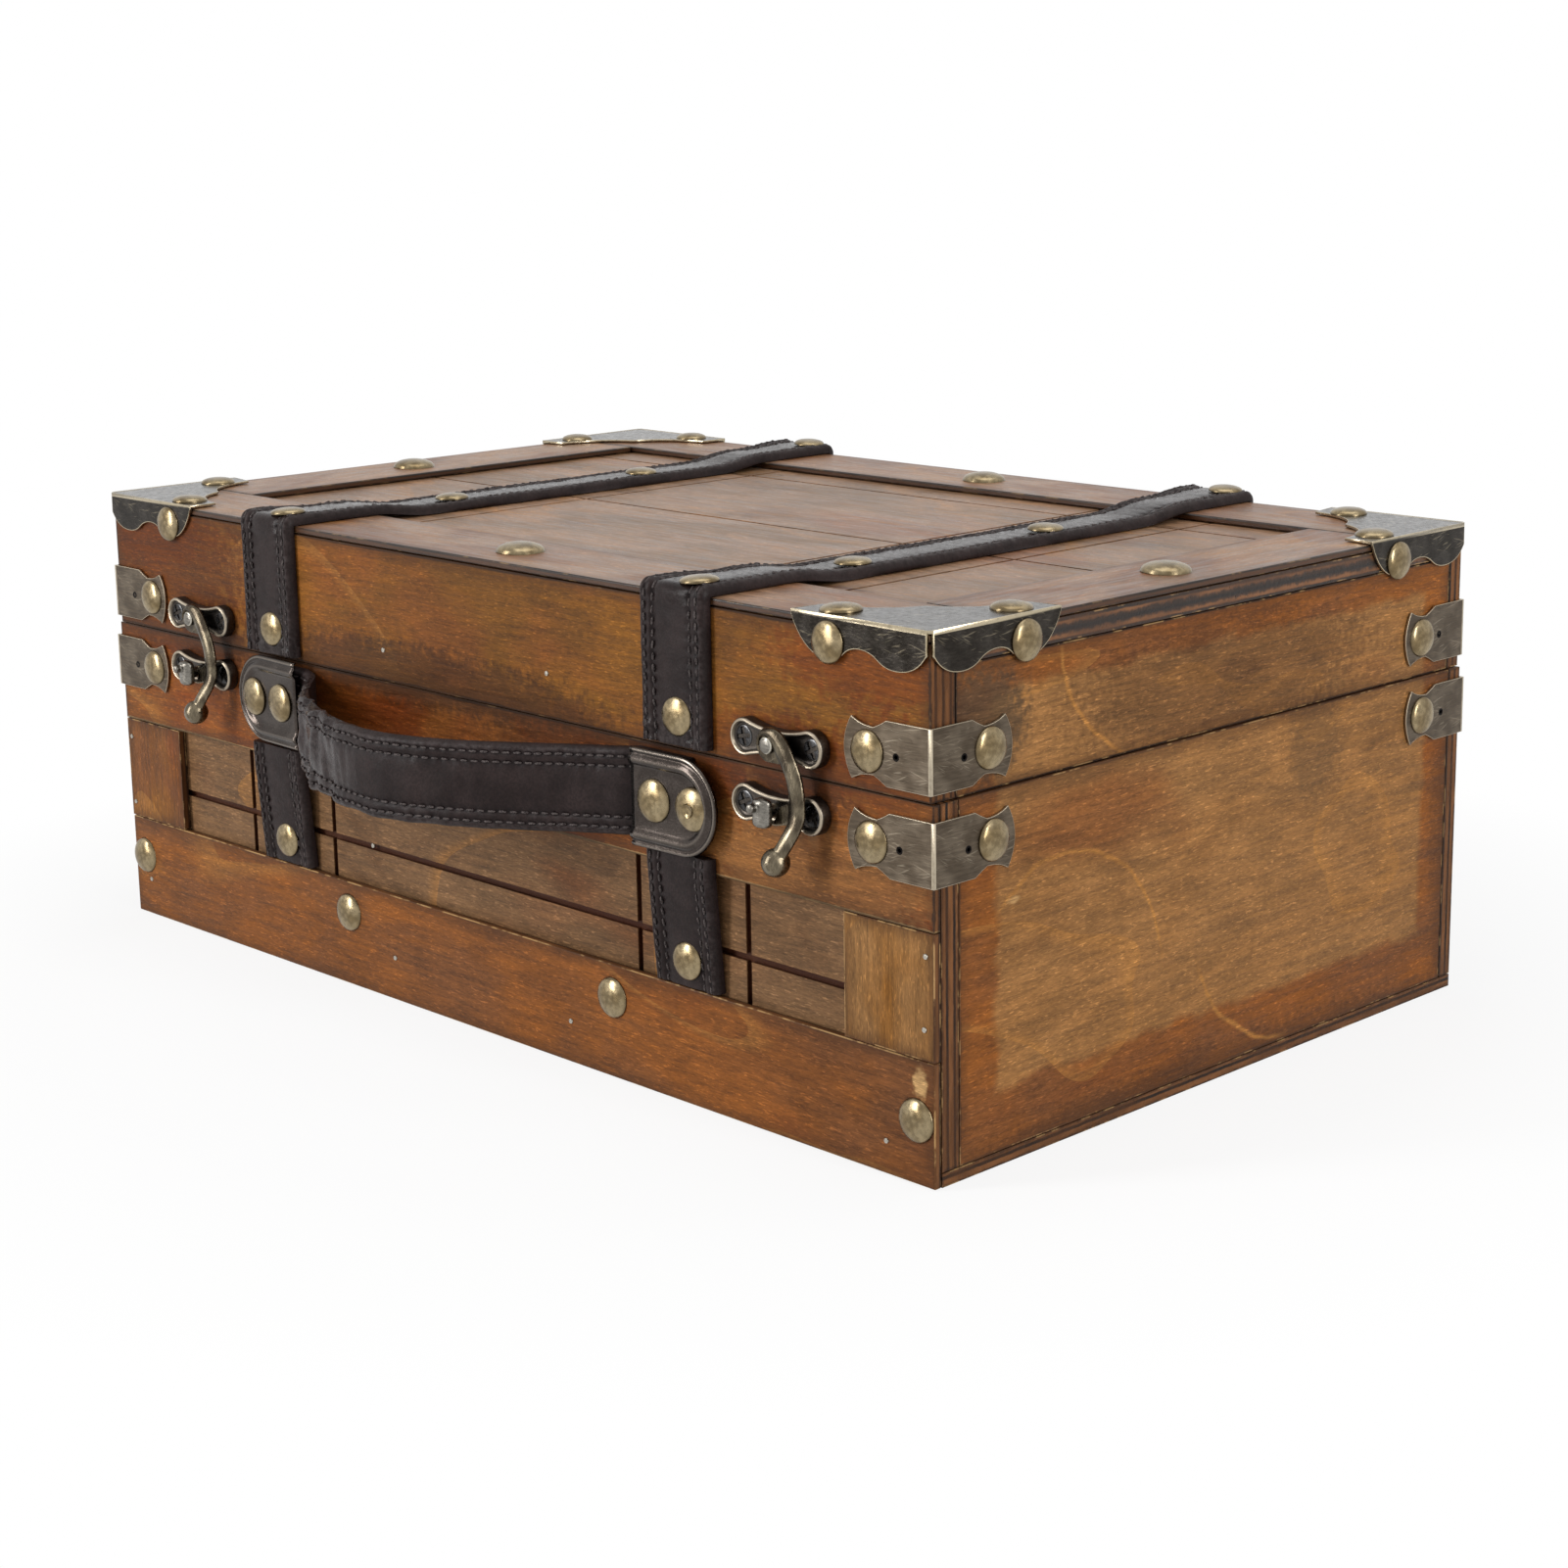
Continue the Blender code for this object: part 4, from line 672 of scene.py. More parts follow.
def add_strip(shape, path, across, thickness, seed, extra, shine):
    """A strap along a path. Its face is to the left of the path's way, seen along the across vector."""
    wear_and_light, seam_shade, polish = (point_layer(shape, name) for name in ("wear_and_light", "seam_shade", "polish"))
    half = across / 2
    side = across.normalized()
    rows = []
    lines = {line: [] for line in sorted(sign * row for row in SEAM_ROWS for sign in (-1, 1))}
    travels = []
    travel = 0.0
    for k, point in enumerate(path):
        before = path[max(k - 1, 0)]
        after = path[min(k + 1, len(path) - 1)]
        out = side.cross((after - before).normalized())
        travel += (point - before).length
        travels.append(travel)

        def surface(share, lift=0.0):
            rise, drift = extra(share, travel)
            height = strap_height(share, travel, thickness, seed) + lift + rise
            return point + half * share + out * height + side * drift

        rows.append([*map(surface, SECTION), point + half, point - half])
        for line, sewn in lines.items():
            sewn.append(surface(line, STITCH_LIFT))
    verts = add_rings(shape, rows)
    top = max(point.z for point in path)
    for row, point, travel in zip(verts, path, travels):
        lying = smooth_step(point.z, PANEL_TOP - 0.001, PANEL_TOP) if top > PANEL_TOP else 0.0
        for vert, share in zip(row, SECTION):
            sewn = max(bump(abs(share), line, 0.07) for line in SEAM_ROWS)
            # Lighter at the rolled edges; painted sheen where shine is set
            vert[wear_and_light] = max(bump(abs(share), 0.90, 0.10), 0.9 * shine(travel))
            # Painted shade in the sewn grooves, darkest at the needle holes
            vert[seam_shade] = (0.35 + 0.6 * pucker(travel)) * sewn
            middle = 1 - smooth_step(abs(share), 0.50, 0.74)
            vert[polish] = max(0.27 * lying * middle, 0.28 * shine(travel))
    return lines.values()


def add_stitches(shape, lines):
    """Short threads at even distances along the sewn rows."""
    step = 0.0002
    long = round(STITCH_LENGTH / step)
    for line in lines:
        fine = evenly(line, step)
        for start in range(0, len(fine) - long, round(STITCH_PITCH / step)):
            add_thread(shape, fine[start], fine[start + long])


def add_thread(shape, start, end):
    """One stitch, thickest in its middle."""
    side = (end - start).normalized().orthogonal().normalized()
    up = (end - start).normalized().cross(side)
    rings = []
    for t, scale in ((0.0, 0.35), (0.15, 0.9), (0.5, 1.0), (0.85, 0.9), (1.0, 0.35)):
        middle = start.lerp(end, t)
        rings.append([middle + STITCH_RADIUS * scale * (side * a + up * b) for a, b in circle(6)])
    first = len(shape.faces)
    add_rings(shape, rings)
    shape.faces.ensure_lookup_table()
    for face in shape.faces[first:]:
        face.material_index = 1


def sewn_piece(name, node, path, across, thickness, materials, body, seed, extra=lie_flat, shine=stay_dull):
    """A sewn strap along a path, in place of a plain one."""
    shape = bmesh.new()
    add_stitches(shape, add_strip(shape, path, across, thickness, seed, extra, shine))
    bmesh.ops.recalc_face_normals(shape, faces=shape.faces)
    piece(name, shape, materials, body, [node], sharp=60)


def lid_strap_path():
    """From the lid's front over its top to the back, in y and z."""
    foot = SEAM + STRAP_ABOVE_SEAM
    edge = BACK - FRAME_WIDTH + STRAP_EASE
    sunk = PANEL_TOP + GAP
    over = HEIGHT + GAP
    half = [(BACK + GAP, foot), *arc((BACK, HEIGHT), GAP, 0, 90, 9), (edge, over)]
    for t in (k / 8 for k in range(1, 9)):
        half.append((edge - (STRAP_RAMP + STRAP_EASE) * t, over + (sunk - over) * smooth_step(t, 0, 1)))
    return [(-y, z) for y, z in half] + list(reversed(half))


def make_straps(materials, tack):
    """Long straps on the lid, short ones on the case, and their tacks."""
    out = GAP + STRAP_THICKNESS - STRAP_TACK_SINK
    foot = WINDOW_BOTTOM + CASE_STRAP_FOOT
    window = FRONT + FACING_THICKNESS
    top = PLATE_Z - PLATE_HEIGHT / 2 - GAP
    front = [(window, foot), (FRONT - GAP, WINDOW_TOP - GAP), (FRONT - GAP, top)]
    back = [(BACK + GAP, SEAM - STRAP_ABOVE_SEAM), (BACK + GAP, foot)]
    bend_at = HEIGHT - SEAM - STRAP_ABOVE_SEAM

    def crinkled(travel):
        """1 at the strap's front end, which is squeezed behind the handle plate."""
        return 1 - smooth_step(travel, 0.0035, 0.0085)

    def rolled(share, travel):
        """The near roll stands taller on the lid's top, and the far side draws in."""
        on_top = smooth_step(travel, bend_at + 0.004, bend_at + 0.020)
        on_top *= 1 - smooth_step(travel, bend_at + 0.184, bend_at + 0.200)
        wave = 0.0007 * ripple(travel * 45, share, 3)
        rise = 0.0003 * smooth_step(share, 0.55, 0.9) - 0.0003 * smooth_step(-share, 0.3, 0.9) - 0.0004
        drift = 0.0022 * smooth_step(-share, 0.2, 1.0) + wave * abs(share)
        crinkle = 0.0005 * crinkled(travel) * ripple(travel * 420, share * 4, 6)
        return on_top * rise + crinkle, on_top * drift

    for name, side in SIDES:
        centre = side * STRAP_X
        seed = 5 * side
        straps = (
            # As shine, crinkled gives the front end of each lid strap a painted sheen and a polish
            ("lid_strap", "lid", lid_strap_path(), seed, rolled, crinkled),
            ("case_strap_front", "case", front, seed + 1, lie_flat, stay_dull),
            ("case_strap_back", "case", back, seed + 2, lie_flat, stay_dull),
        )
        for label, body, path, *rest in straps:
            points = evenly([Vector((centre, y, z)) for y, z in path], STRAP_STEP)
            sewn_piece(label + "_leather_" + name, label + "_" + name, points, Vector((STRAP_WIDTH, 0, 0)),
                       STRAP_THICKNESS, materials, body, *rest)
        beside = SEAM + STRAP_TACK_ABOVE_SEAM
        above = foot + STRAP_TACK_ABOVE_FOOT
        lean = (FACING_THICKNESS + GAP) * STRAP_TACK_ABOVE_FOOT / (WINDOW_TOP - foot)
        uprights = (
            ("lid", "front", FRONT - out, beside, 3), ("lid", "back", BACK + out, beside, -2),
            ("case", "front", window - out - lean, above, 2), ("case", "back", BACK + out, above, 2),
        )
        for body, face, y, z, tilt in uprights:
            place = face_frame(face, (centre + STRAP_TACK_SHIFT, y, z))
            add_tack(body + "_strap_tack_" + face + "_" + name, tack, body, place, tilt)
        slip = 0.0040 if side < 0 else -0.0012
        tops = (
            (FRONT + STRAP_TACK_FROM_EDGE, HEIGHT),
            (FRONT + FRAME_WIDTH + STRAP_TACK_BEHIND_FRAME + slip, PANEL_TOP),
            (BACK - FRAME_WIDTH - STRAP_TACK_AHEAD_OF_FRAME + slip, PANEL_TOP),
            (BACK - STRAP_TACK_FROM_EDGE, HEIGHT),
        )
        for number, (y, z) in enumerate(tops, 1):
            place = move(centre + STRAP_TOP_TACK_SHIFT, y, z + out + 0.0005)
            add_tack("lid_strap_tack_top_" + str(number) + "_" + name, tack, "lid", place, 2 * number - 5)


def make_handle(materials):
    """The bowed, wrinkled handle band, sewn on both faces."""
    half = STRAP_X - PLATE_LENGTH / 2
    end = STRAP_X + PLATE_LENGTH / 2 - HANDLE_END_INSET
    rise = HANDLE_RISE - HANDLE_THICKNESS / 2 - GAP
    bow = [Vector((half * share, GAP + rise * out)) for share, out in ((-1.0, 0.0), *HANDLE_BOW, (1.0, 0.0))]
    points = []
    for x, out in (Vector((-end, GAP)), *smooth_path(bow, 6), Vector((end, GAP))):
        sag = HANDLE_SAG * max(0.0, 1 - (x / half) ** 2)
        points.append(Vector((x, FRONT - out, PLATE_Z - sag)))

    def rumpled(travel):
        """1 in the stretch that is folded most."""
        return smooth_step(travel, 0.022, 0.030) * (1 - smooth_step(travel, 0.062, 0.095))

    def wrinkled(share, travel):
        """Soft folds across the band, strongest near the left plate."""
        left = rumpled(travel)
        folds = 0.0007 * ripple(travel * 130, share * 1.2, 2) + 0.0004 * ripple(travel * 320, share * 2.5, 9)
        fold = (0.35 + 1.1 * left) * folds
        for place, width, height in HANDLE_FOLDS:
            fold += height * bump(travel + 0.0020 * share, place, width)
        edge = (0.0004 + 0.0010 * left) * ripple(travel * 110, 4, 1) * smooth_step(abs(share), 0.3, 1.0)
        held = smooth_step(travel, 0.016, 0.026) * (1 - smooth_step(travel, 0.150, 0.160))
        return fold * held, edge * held

    # As shine, rumpled gives the most folded stretch a painted sheen and a polish
    sewn_piece("handle_leather", "handle_band", evenly(points, 0.0010), Vector((0, 0, -HANDLE_WIDTH)),
               HANDLE_THICKNESS, materials, "case", 4, wrinkled, rumpled)


# Handle plates

# Inset from the edge and height of each line round a plate
PLATE_PROFILE = (
    (0.0, 0.0), (0.0, 0.0006), (0.0002, 0.0009), (0.0006, 0.0011), (0.0010, 0.0010), (0.0012, 0.0008),
    (0.0015, 0.0008), (0.0018, 0.0011), (0.0023, 0.0015), (0.0029, 0.0016), (0.0035, 0.0015),
    (0.0040, 0.0011), (0.0044, 0.0008), (0.0048, 0.0007), (0.0065, 0.0007), (0.0090, 0.0007),
    (0.0121, 0.0007),
)


def plate_shape():
    """A D-shaped plate with a thin outer line and a broad inner bead on three sides, open at its left end."""
    radius = PLATE_HEIGHT / 2
    start = -PLATE_LENGTH / 2
    centre = PLATE_LENGTH / 2 - radius
    straight = [start + (centre - start) * k / 12 for k in range(12)]
    shape = bmesh.new()
    wear_and_light = point_layer(shape, "wear_and_light")
    rows = []
    for inset, height in PLATE_PROFILE:
        edge = radius - inset
        ring = [(x, -edge) for x in straight] + arc((centre, 0), edge, -90, 90, 32)
        ring += [(x, edge) for x in reversed(straight)]
        row = [shape.verts.new((x, y, height)) for x, y in ring]
        for vert in row:
            # The outer line and the bead's crest are worn bright and painted as their highlights
            vert[wear_and_light] = max(0.6 * bump(inset, 0.0029, 0.0010), bump(inset, 0.0005, 0.0005))
        rows.append(row)
    for lower, upper in zip(rows, rows[1:]):
        for k in range(len(lower) - 1):
            shape.faces.new((lower[k], lower[k + 1], upper[k + 1], upper[k]))
    last = rows[-1]
    for k in range((len(last) - 2) // 2):
        shape.faces.new((last[k], last[k + 1], last[-k - 2], last[-k - 1]))
    return shape


def make_handle_plates(material, rivet, ringed):
    """The plates over both ends of the handle. Their straight ends stand a little proud of the leather."""
    slips = {"left": (-0.0002, 0.0009, 2.2), "right": (0.0008, -0.0005, 1.6)}
    end = PLATE_LENGTH / 2
    for name, side in SIDES:
        shift, up, lean = slips[name]
        at = face_frame("front", (side * STRAP_X + shift, FRONT - PLATE_BASE, PLATE_Z + up))
        if side < 0:
            at = at @ rotate(180, "Z")
        at = at @ move(end, 0) @ rotate(lean, "Y") @ move(-end, 0)
        thing = piece("handle_plate_beaded_" + name, plate_shape(), (material,), "case",
                      ["handle_plate_" + name], at, 50)
        modify(thing, "sheet", "SOLIDIFY", thickness=0.0004, offset=-1.0)
        for number, place in enumerate((-RIVET_FROM_MIDDLE, RIVET_FROM_MIDDLE), 1):
            head = ringed if number * side == 2 else rivet
            label = "handle_rivet_" + name + "_" + str(number)
            add_tack(label, head, "case", at @ move(place, 0, PLATE_SHEET), 1)


# Brackets and metal corners

BRACKET_RIM = 0.00010
BRACKET_HOLE = (0.0100, -0.0004)
CORNER_RIM = 0.00016


def bracket_leg():
    """The outline of a bracket's leg, from the fold round its tip and back."""
    high = BRACKET_HEIGHT / 2
    waist = BRACKET_WAIST / 2
    shoulder = (BRACKET_SHOULDER, high)
    narrow = (BRACKET_WAIST_AT, waist)
    ear = (BRACKET_EAR_AT, high - 0.0003)
    step = BRACKET_WAIST_AT - BRACKET_SHOULDER
    horn = BRACKET_EAR_AT - BRACKET_WAIST_AT
    pull = (BRACKET_SHOULDER + 0.45 * step, 0.45 * high + 0.55 * waist)
    upper = [shoulder, *bend(shoulder, pull, narrow, 5)]
    upper += bend(narrow, (BRACKET_WAIST_AT + 0.6 * horn, waist), ear, 9)
    lower = [(x, -y) for x, y in upper]
    tip = bend((ear[0], -ear[1]), (2 * BRACKET_LENGTH - BRACKET_EAR_AT, 0), ear, 12)
    return [(0, -high), *lower, *tip, *reversed(upper[:-1]), (0, high)]


def corner_flap():
    """The outline of a metal corner's side: two lobes with a crest between them."""
    second = (CORNER_TACK[0], CORNER_LOBE[1])
    pull = (CORNER_SLIT[0] + 0.3 * CORNER_LOBE[0], CORNER_LOBE[1])
    points = [(CORNER_SLIT[0], 0), CORNER_SLIT, *bend(CORNER_SLIT, pull, CORNER_LOBE, 8)]
    for start, end in ((CORNER_LOBE, CORNER_CREST), (CORNER_CREST, second)):
        half = tuple((a + b) / 2 for a, b in zip(start, end))
        points += bend(start, (0.4 * start[0] + 0.6 * half[0], start[1]), half, 6)
        points += bend(half, (0.4 * end[0] + 0.6 * half[0], end[1]), end, 6)
    return points + bend(second, (CORNER_LENGTH - 0.0040, CORNER_LOBE[1]), (CORNER_LENGTH, 0), 9)


def corner_top():
    """The outline of a metal corner's top, the same on both sides of its diagonal."""
    half = [(CORNER_SLIT[0], 0), (CORNER_LENGTH, 0), CORNER_EAR]
    half += bend(CORNER_EAR, CORNER_HOLLOW, CORNER_CUSP, 14)
    return half + [(y, x) for x, y in reversed(half[:-1])]


def add_worn_sheet(shape, outline, across, up, rim):
    """A flat face with a narrow rim, worn bright and painted as its highlight."""
    wear_and_light = point_layer(shape, "wear_and_light")
    face = shape.faces.new([shape.verts.new(across * x + up * y) for x, y in outline])
    face.normal_update()
    for inset, worn in ((rim, 1.0), (0.4 * rim, 0.0), (2 * rim, 0.0)):
        bmesh.ops.inset_region(shape, faces=[face], thickness=inset, use_even_offset=True, use_boundary=True)
        for vert in face.verts:
            vert[wear_and_light] = worn
    for vert in shape.verts:
        if vert.is_boundary:
            vert[wear_and_light] = 1.0


def folded_mesh(name, outline, rim, material, top=()):
    """Two legs folded round an upright edge, with a top plate if there is one."""
    right, back, up = (Vector(axis) for axis in ((1, 0, 0), (0, 1, 0), (0, 0, 1)))
    shape = bmesh.new()
    add_worn_sheet(shape, outline, back, up, rim)
    add_worn_sheet(shape, [(-x, y) for x, y in reversed(outline)], right, up, rim)
    if top:
        add_worn_sheet(shape, [(-y, x) for x, y in top], right, back, rim)
    bmesh.ops.remove_doubles(shape, verts=shape.verts, dist=0.00001)
    bmesh.ops.recalc_face_normals(shape, faces=shape.faces)
    return mesh_from(shape, name, material)


def folded_piece(name, mesh, body, replaced, at, thickness):
    """A folded sheet with its thickness on the outside and softened edges."""
    thing = piece(name, mesh, (), body, [replaced], at, 35)
    modify(thing, "sheet", "SOLIDIFY", thickness=thickness, offset=1.0, use_even_offset=True)
    modify(thing, "soft", "BEVEL", width=0.00012, segments=2, limit_method="ANGLE",
           angle_limit=math.radians(50))


def leg_frames(along, up, proud):
    """The same place on both legs of a folded sheet, each with z outward."""
    front = move(-along, -proud, up) @ rotate(90, "X")
    return [front, move(proud, along, up) @ rotate(90, "Z") @ rotate(90, "X")]


def corner_place(name, half_width, height):
    """The upright edge of one corner of the trunk, turned its way."""
    x = half_width + GAP if "right" in name else -half_width - GAP
    y = FRONT - GAP if "front" in name else BACK + GAP
    return move(x, y, height) @ rotate(CORNERS[name], "Z")


def make_brackets(material, tack, hole):
    """Brackets above and below the seam, each with two tacks and two empty nail holes."""
    mesh = folded_mesh("bracket_fold", bracket_leg(), BRACKET_RIM, material)
    count = 0
    for name in CORNERS:
        lift = 0.0010 if name == "back_right" else 0.0
        for body, half, z in (("lid", LID_RIGHT, LID_BRACKET_Z), ("case", RIGHT, CASE_BRACKET_Z)):
            count += 1
            at = corner_place(name, half, z + lift)
            label = body + "_bracket_" + name
            folded_piece(label + "_metal", mesh, body, label, at, BRACKET_THICKNESS)
            for number, leg in enumerate(leg_frames(BRACKET_TACK_AT, 0, BRACKET_THICKNESS), 1):
                stray = move(0.0004 * ripple(count, number, 0.5), 0.0004 * ripple(number, count, 2.5))
                tilt = 4 * ripple(count, 8.3, number)
                add_tack(label + "_tack_" + str(number), tack, body, at @ leg @ stray, tilt)
            for number, leg in enumerate(leg_frames(*BRACKET_HOLE, BRACKET_THICKNESS), 1):
                stray = move(0.0012 * ripple(count, 5.5, number), 0.0006 * ripple(count, 1.1, number))
                piece(label + "_hole_" + str(number), hole, (), body, turn=at @ leg @ stray)


def make_metal_corners(material, tack):
    """The four metal corners of the lid with their tacks."""
    mesh = folded_mesh("corner_fold", corner_flap(), CORNER_RIM, material, corner_top())
    x, y = CORNER_TOP_TACK
    places = leg_frames(*CORNER_TACK, CORNER_THICKNESS)
    places += [move(-x, y, CORNER_THICKNESS), move(-y, x, CORNER_THICKNESS)]
    for count, name in enumerate(CORNERS):
        at = corner_place(name, LID_RIGHT, HEIGHT + GAP)
        label = "metal_corner_" + name
        folded_piece(label + "_sheet", mesh, "lid", label, at, CORNER_THICKNESS)
        for number, place in enumerate(places, 1):
            add_tack(label + "_tack_" + str(number), tack, "lid", at @ place, 4 * ripple(count, 3.3, number))


# Hook latches

# Inset, height and worn rim colour of each line round a latch plate; the bright rim colour is also painted
# highlight
LATCH_STEPS = (
    (0.0, GAP, 0.0), (0.0, LATCH_FACE - 0.0007, 0.2), (0.0002, LATCH_FACE - 0.0002, 0.8),
    (0.0005, LATCH_FACE, 1.0), (0.0008, LATCH_FACE - 0.0001, 1.0), (0.0011, LATCH_FLOOR + 0.0003, 0.2),
    (0.0014, LATCH_FLOOR, 0.0), (0.0020, LATCH_FLOOR, 0.0),
)
CATCH_HEAD_RADIUS = 0.0027
CATCH_HEAD_HALF_LENGTH = 0.0036
CATCH_HEAD_HALF_HEIGHT = 0.0018
POST_FOOT = LATCH_FLOOR - 0.0003
POST_HEAD = HOOK_BASE + HOOK_EYE_THICKNESS + GAP
LATCH_SCREW_RADIUS = 0.0026
HINGE_SCREW_RADIUS = 0.0019


def latch_outline(inset):
    """Two round lobes with a waist between them."""
    waist = LATCH_WAIST / 2 - inset
    upper = arc((LATCH_LOBE_AT, 0), LATCH_LOBE_RADIUS - inset, 0, 100, 14)
    upper += bend(upper[-1], (LATCH_LOBE_AT / 2, waist), (0, waist), 8)
    upper += [(-x, y) for x, y in reversed(upper[:-1])]
    return upper + [(x, -y) for x, y in reversed(upper[1:-1])]


def latch_shape():
    """A waisted plate with rounded shoulders, a rim worn bright and painted as its highlight, and a dished
    floor.
    """
    shape = bmesh.new()
    wear_and_light = point_layer(shape, "wear_and_light")
    rings = [[(x, y, height) for x, y in latch_outline(inset)] for inset, height, worn in LATCH_STEPS]
    for row, (inset, height, worn) in zip(add_rings(shape, rings), LATCH_STEPS):
        for vert in row:
            vert[wear_and_light] = worn
    return shape


def hook_shape():
    """Eye, web, arched arm, tongue and ball, overlapping, to be cast into one by the remesh."""
    shape = bmesh.new()
    top = HOOK_BASE + HOOK_EYE_THICKNESS
    eye = [(0.0038, HOOK_BASE), (0.0041, HOOK_BASE + 0.0003), (0.0041, top - 0.0003), (0.0039, top)]
    add_turned(shape, eye, 40)
    for outline, thickness in ((HOOK_THROAT, 0.0014), (HOOK_TONGUE, 0.0015)):
        points = [(x * HOOK_REACH, y * HOOK_REACH) for x, y in outline]
        add_rings(shape, [[(x, y, z) for x, y in points] for z in (HOOK_BASE, HOOK_BASE + thickness)])
    path = smooth_path([Vector(point) * HOOK_REACH for point in HOOK_ARM], 6)
    rings = []
    last = len(path) - 1
    for k, point in enumerate(path):
        ahead = (path[min(k + 1, last)] - path[max(k - 1, 0)]).normalized()
        side = Vector((-ahead.y, ahead.x))
        lifted = smooth_step(point.length, 1.10 * HOOK_REACH, 1.60 * HOOK_REACH)
        width = 0.0026 * (0.22 + 0.70 * smooth_step(k / last, 0.12, 0.42))
        width += (0.00200 - width) * lifted
        low = HOOK_BASE + HOOK_TAIL_LIFT * lifted
        ring = []
        for out, up in circle(14):
            height = low + HOOK_ARM_THICKNESS * (0.42 + (0.58 if up > 0 else 0.42) * up)
            ring.append((*(point + side * width * out), height))
        rings.append(ring)
    add_rings(shape, rings)
    x, y = (value * HOOK_REACH for value in HOOK_BALL)
    centre = move(x, y, HOOK_BASE + HOOK_TAIL_LIFT + HOOK_ARM_THICKNESS / 2)
    bmesh.ops.create_uvsphere(shape, u_segments=32, v_segments=20, radius=0.0034, matrix=centre)
    bmesh.ops.recalc_face_normals(shape, faces=shape.faces)
    return shape


def cast(thing, voxel, smoothing):
    """Fuse overlapping forms into one soft casting."""
    modify(thing, "fuse", "REMESH", mode="VOXEL", voxel_size=voxel, use_smooth_shade=True)
    modify(thing, "soft", "SMOOTH", factor=0.5, iterations=smoothing)


def catch_shape():
    """The catch's neck, upright barrel head and small stub, overlapping, to be cast into one."""
    shape = bmesh.new()
    add_turned(shape, [(0.0016, POST_FOOT), (0.0016, POST_HEAD + 0.0004)], 24)
    rings = []
    for k in range(17):
        y = CATCH_HEAD_HALF_LENGTH * (k / 8 - 1)
        end = max(0.0, abs(y) - 0.0024) / 0.00125
        swell = math.sqrt(max(0.05, 1 - end ** 2))
        rings.append([
            (CATCH_HEAD_RADIUS * swell * out, y, POST_HEAD + CATCH_HEAD_HALF_HEIGHT * (1 + swell * up))
            for out, up in circle(28)
        ])
    add_rings(shape, rings)
    stub = [(0.0011, 0.0010), (0.0011, 0.0050), (0.0009, 0.0053), (0.0004, 0.0054)]
    add_turned(shape, stub, 24, move(-0.0008, 0.0014, POST_HEAD))
    return shape


def pivot_shape():
    """The rivet that the hook turns on, with a flat softened head."""
    head = (
        (0.0013, 0.0), (0.0019, 0.0), (0.0020, 0.0002), (0.0020, 0.0004), (0.0019, 0.0006), (0.0015, 0.0008),
        (0.0007, 0.0009),
    )
    shape = bmesh.new()
    wear_and_light = point_layer(shape, "wear_and_light")
    profile = [(0.0013, POST_FOOT)] + [(radius, POST_HEAD + rise) for radius, rise in head]
    rows = add_turned(shape, profile, 32)
    for vert in rows[4] + rows[5]:
        vert[wear_and_light] = 1.0
    return shape


def screw_mesh(name, radius, material):
    """A cross-head screw's head: a low dome with a deep cross cut into it."""
    profile = [(0.98, -0.0004), (1.0, 0.0001), (0.93, 0.00025), (0.85, 0.00028)]
    profile += [(share, 0.0003) for share in (0.70, 0.60, 0.50, 0.38, 0.26, 0.14)]
    shape = bmesh.new()
    wear_and_light = point_layer(shape, "wear_and_light")
    slot_shade = point_layer(shape, "slot_shade")
    rows = add_turned(shape, [(share * radius, height) for share, height in profile], 48, low_end=False)
    for vert in rows[2]:
        vert[wear_and_light] = 0.5
    # The cross is sunk and painted near black as its shade
    for row in rows[4:]:
        for vert in row:
            if min(abs(vert.co.x), abs(vert.co.y)) < 0.17 * radius:
                vert.co.z -= 0.0010
                vert[slot_shade] = 1.0
    return mesh_from(shape, name, material)


def make_latches(plate, hook, silver, screw):
    """Both latches: plates, pivot rivets, catches, hooks and screws."""
    for name, side in SIDES:
        upper = face_frame("front", (side * LATCH_X, FRONT, PIVOT_Z))
        lower = face_frame("front", (side * LATCH_X, FRONT, CATCH_Z))
        piece("hook_plate_dished_" + name, latch_shape(), (plate,), "lid",
              ["hook_plate_" + name], upper, 50)
        piece("hook_rivet_" + name, pivot_shape(), (silver,), "lid", turn=upper, sharp=50)
        piece("catch_plate_dished_" + name, latch_shape(), (plate,), "case",
              ["catch_plate_" + name], lower, 50)
        head = piece("catch_head_" + name, catch_shape(), (silver,), "case", turn=lower)
        cast(head, 0.00018, 4)
        arm = piece("hook_cast_" + name, hook_shape(), (hook,), name + "_hook",
                    ["hook_" + name], upper)
        cast(arm, 0.00022, 3)
        for number, shift in enumerate((-LATCH_SCREW_AT, LATCH_SCREW_AT), 1):
            for kind, at, body in (("hook", upper, "lid"), ("catch", lower, "case")):
                angle = 17 * number + 40 * side + len(kind) * 11
                turn = at @ move(shift, 0, LATCH_FLOOR) @ rotate(angle, "Z")
                ending = name + "_" + str(number)
                piece(kind + "_screw_head_" + ending, screw, (), body,
                      [kind + "_screw_" + ending], turn)


# Boards

BOARD_EDGE = 0.0004
STILE_EDGE = 0.0003
PLANK_EDGE = 0.00035
MARK_DEPTH = 9

# The olive middles of the ends and of the back, as boxes in metres
END_INNER = ((-1, -0.0815, 0.0185), (1, 0.0860, 0.1105))
BACK_INNER = ((-0.148, -1, 0.0180), (0.148, 1, 0.1100))


def soften(thing, width):
    modify(thing, "edge", "BEVEL", width=width, segments=2, limit_method="ANGLE",
           angle_limit=math.radians(60), use_clamp_overlap=False)


def paint(node, material, width=0.0):
    """Give a CAD piece its material, and softened edges if a width is given."""
    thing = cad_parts[node]
    thing.data.materials.clear()
    thing.data.materials.append(material)
    if width:
        soften(thing, width)


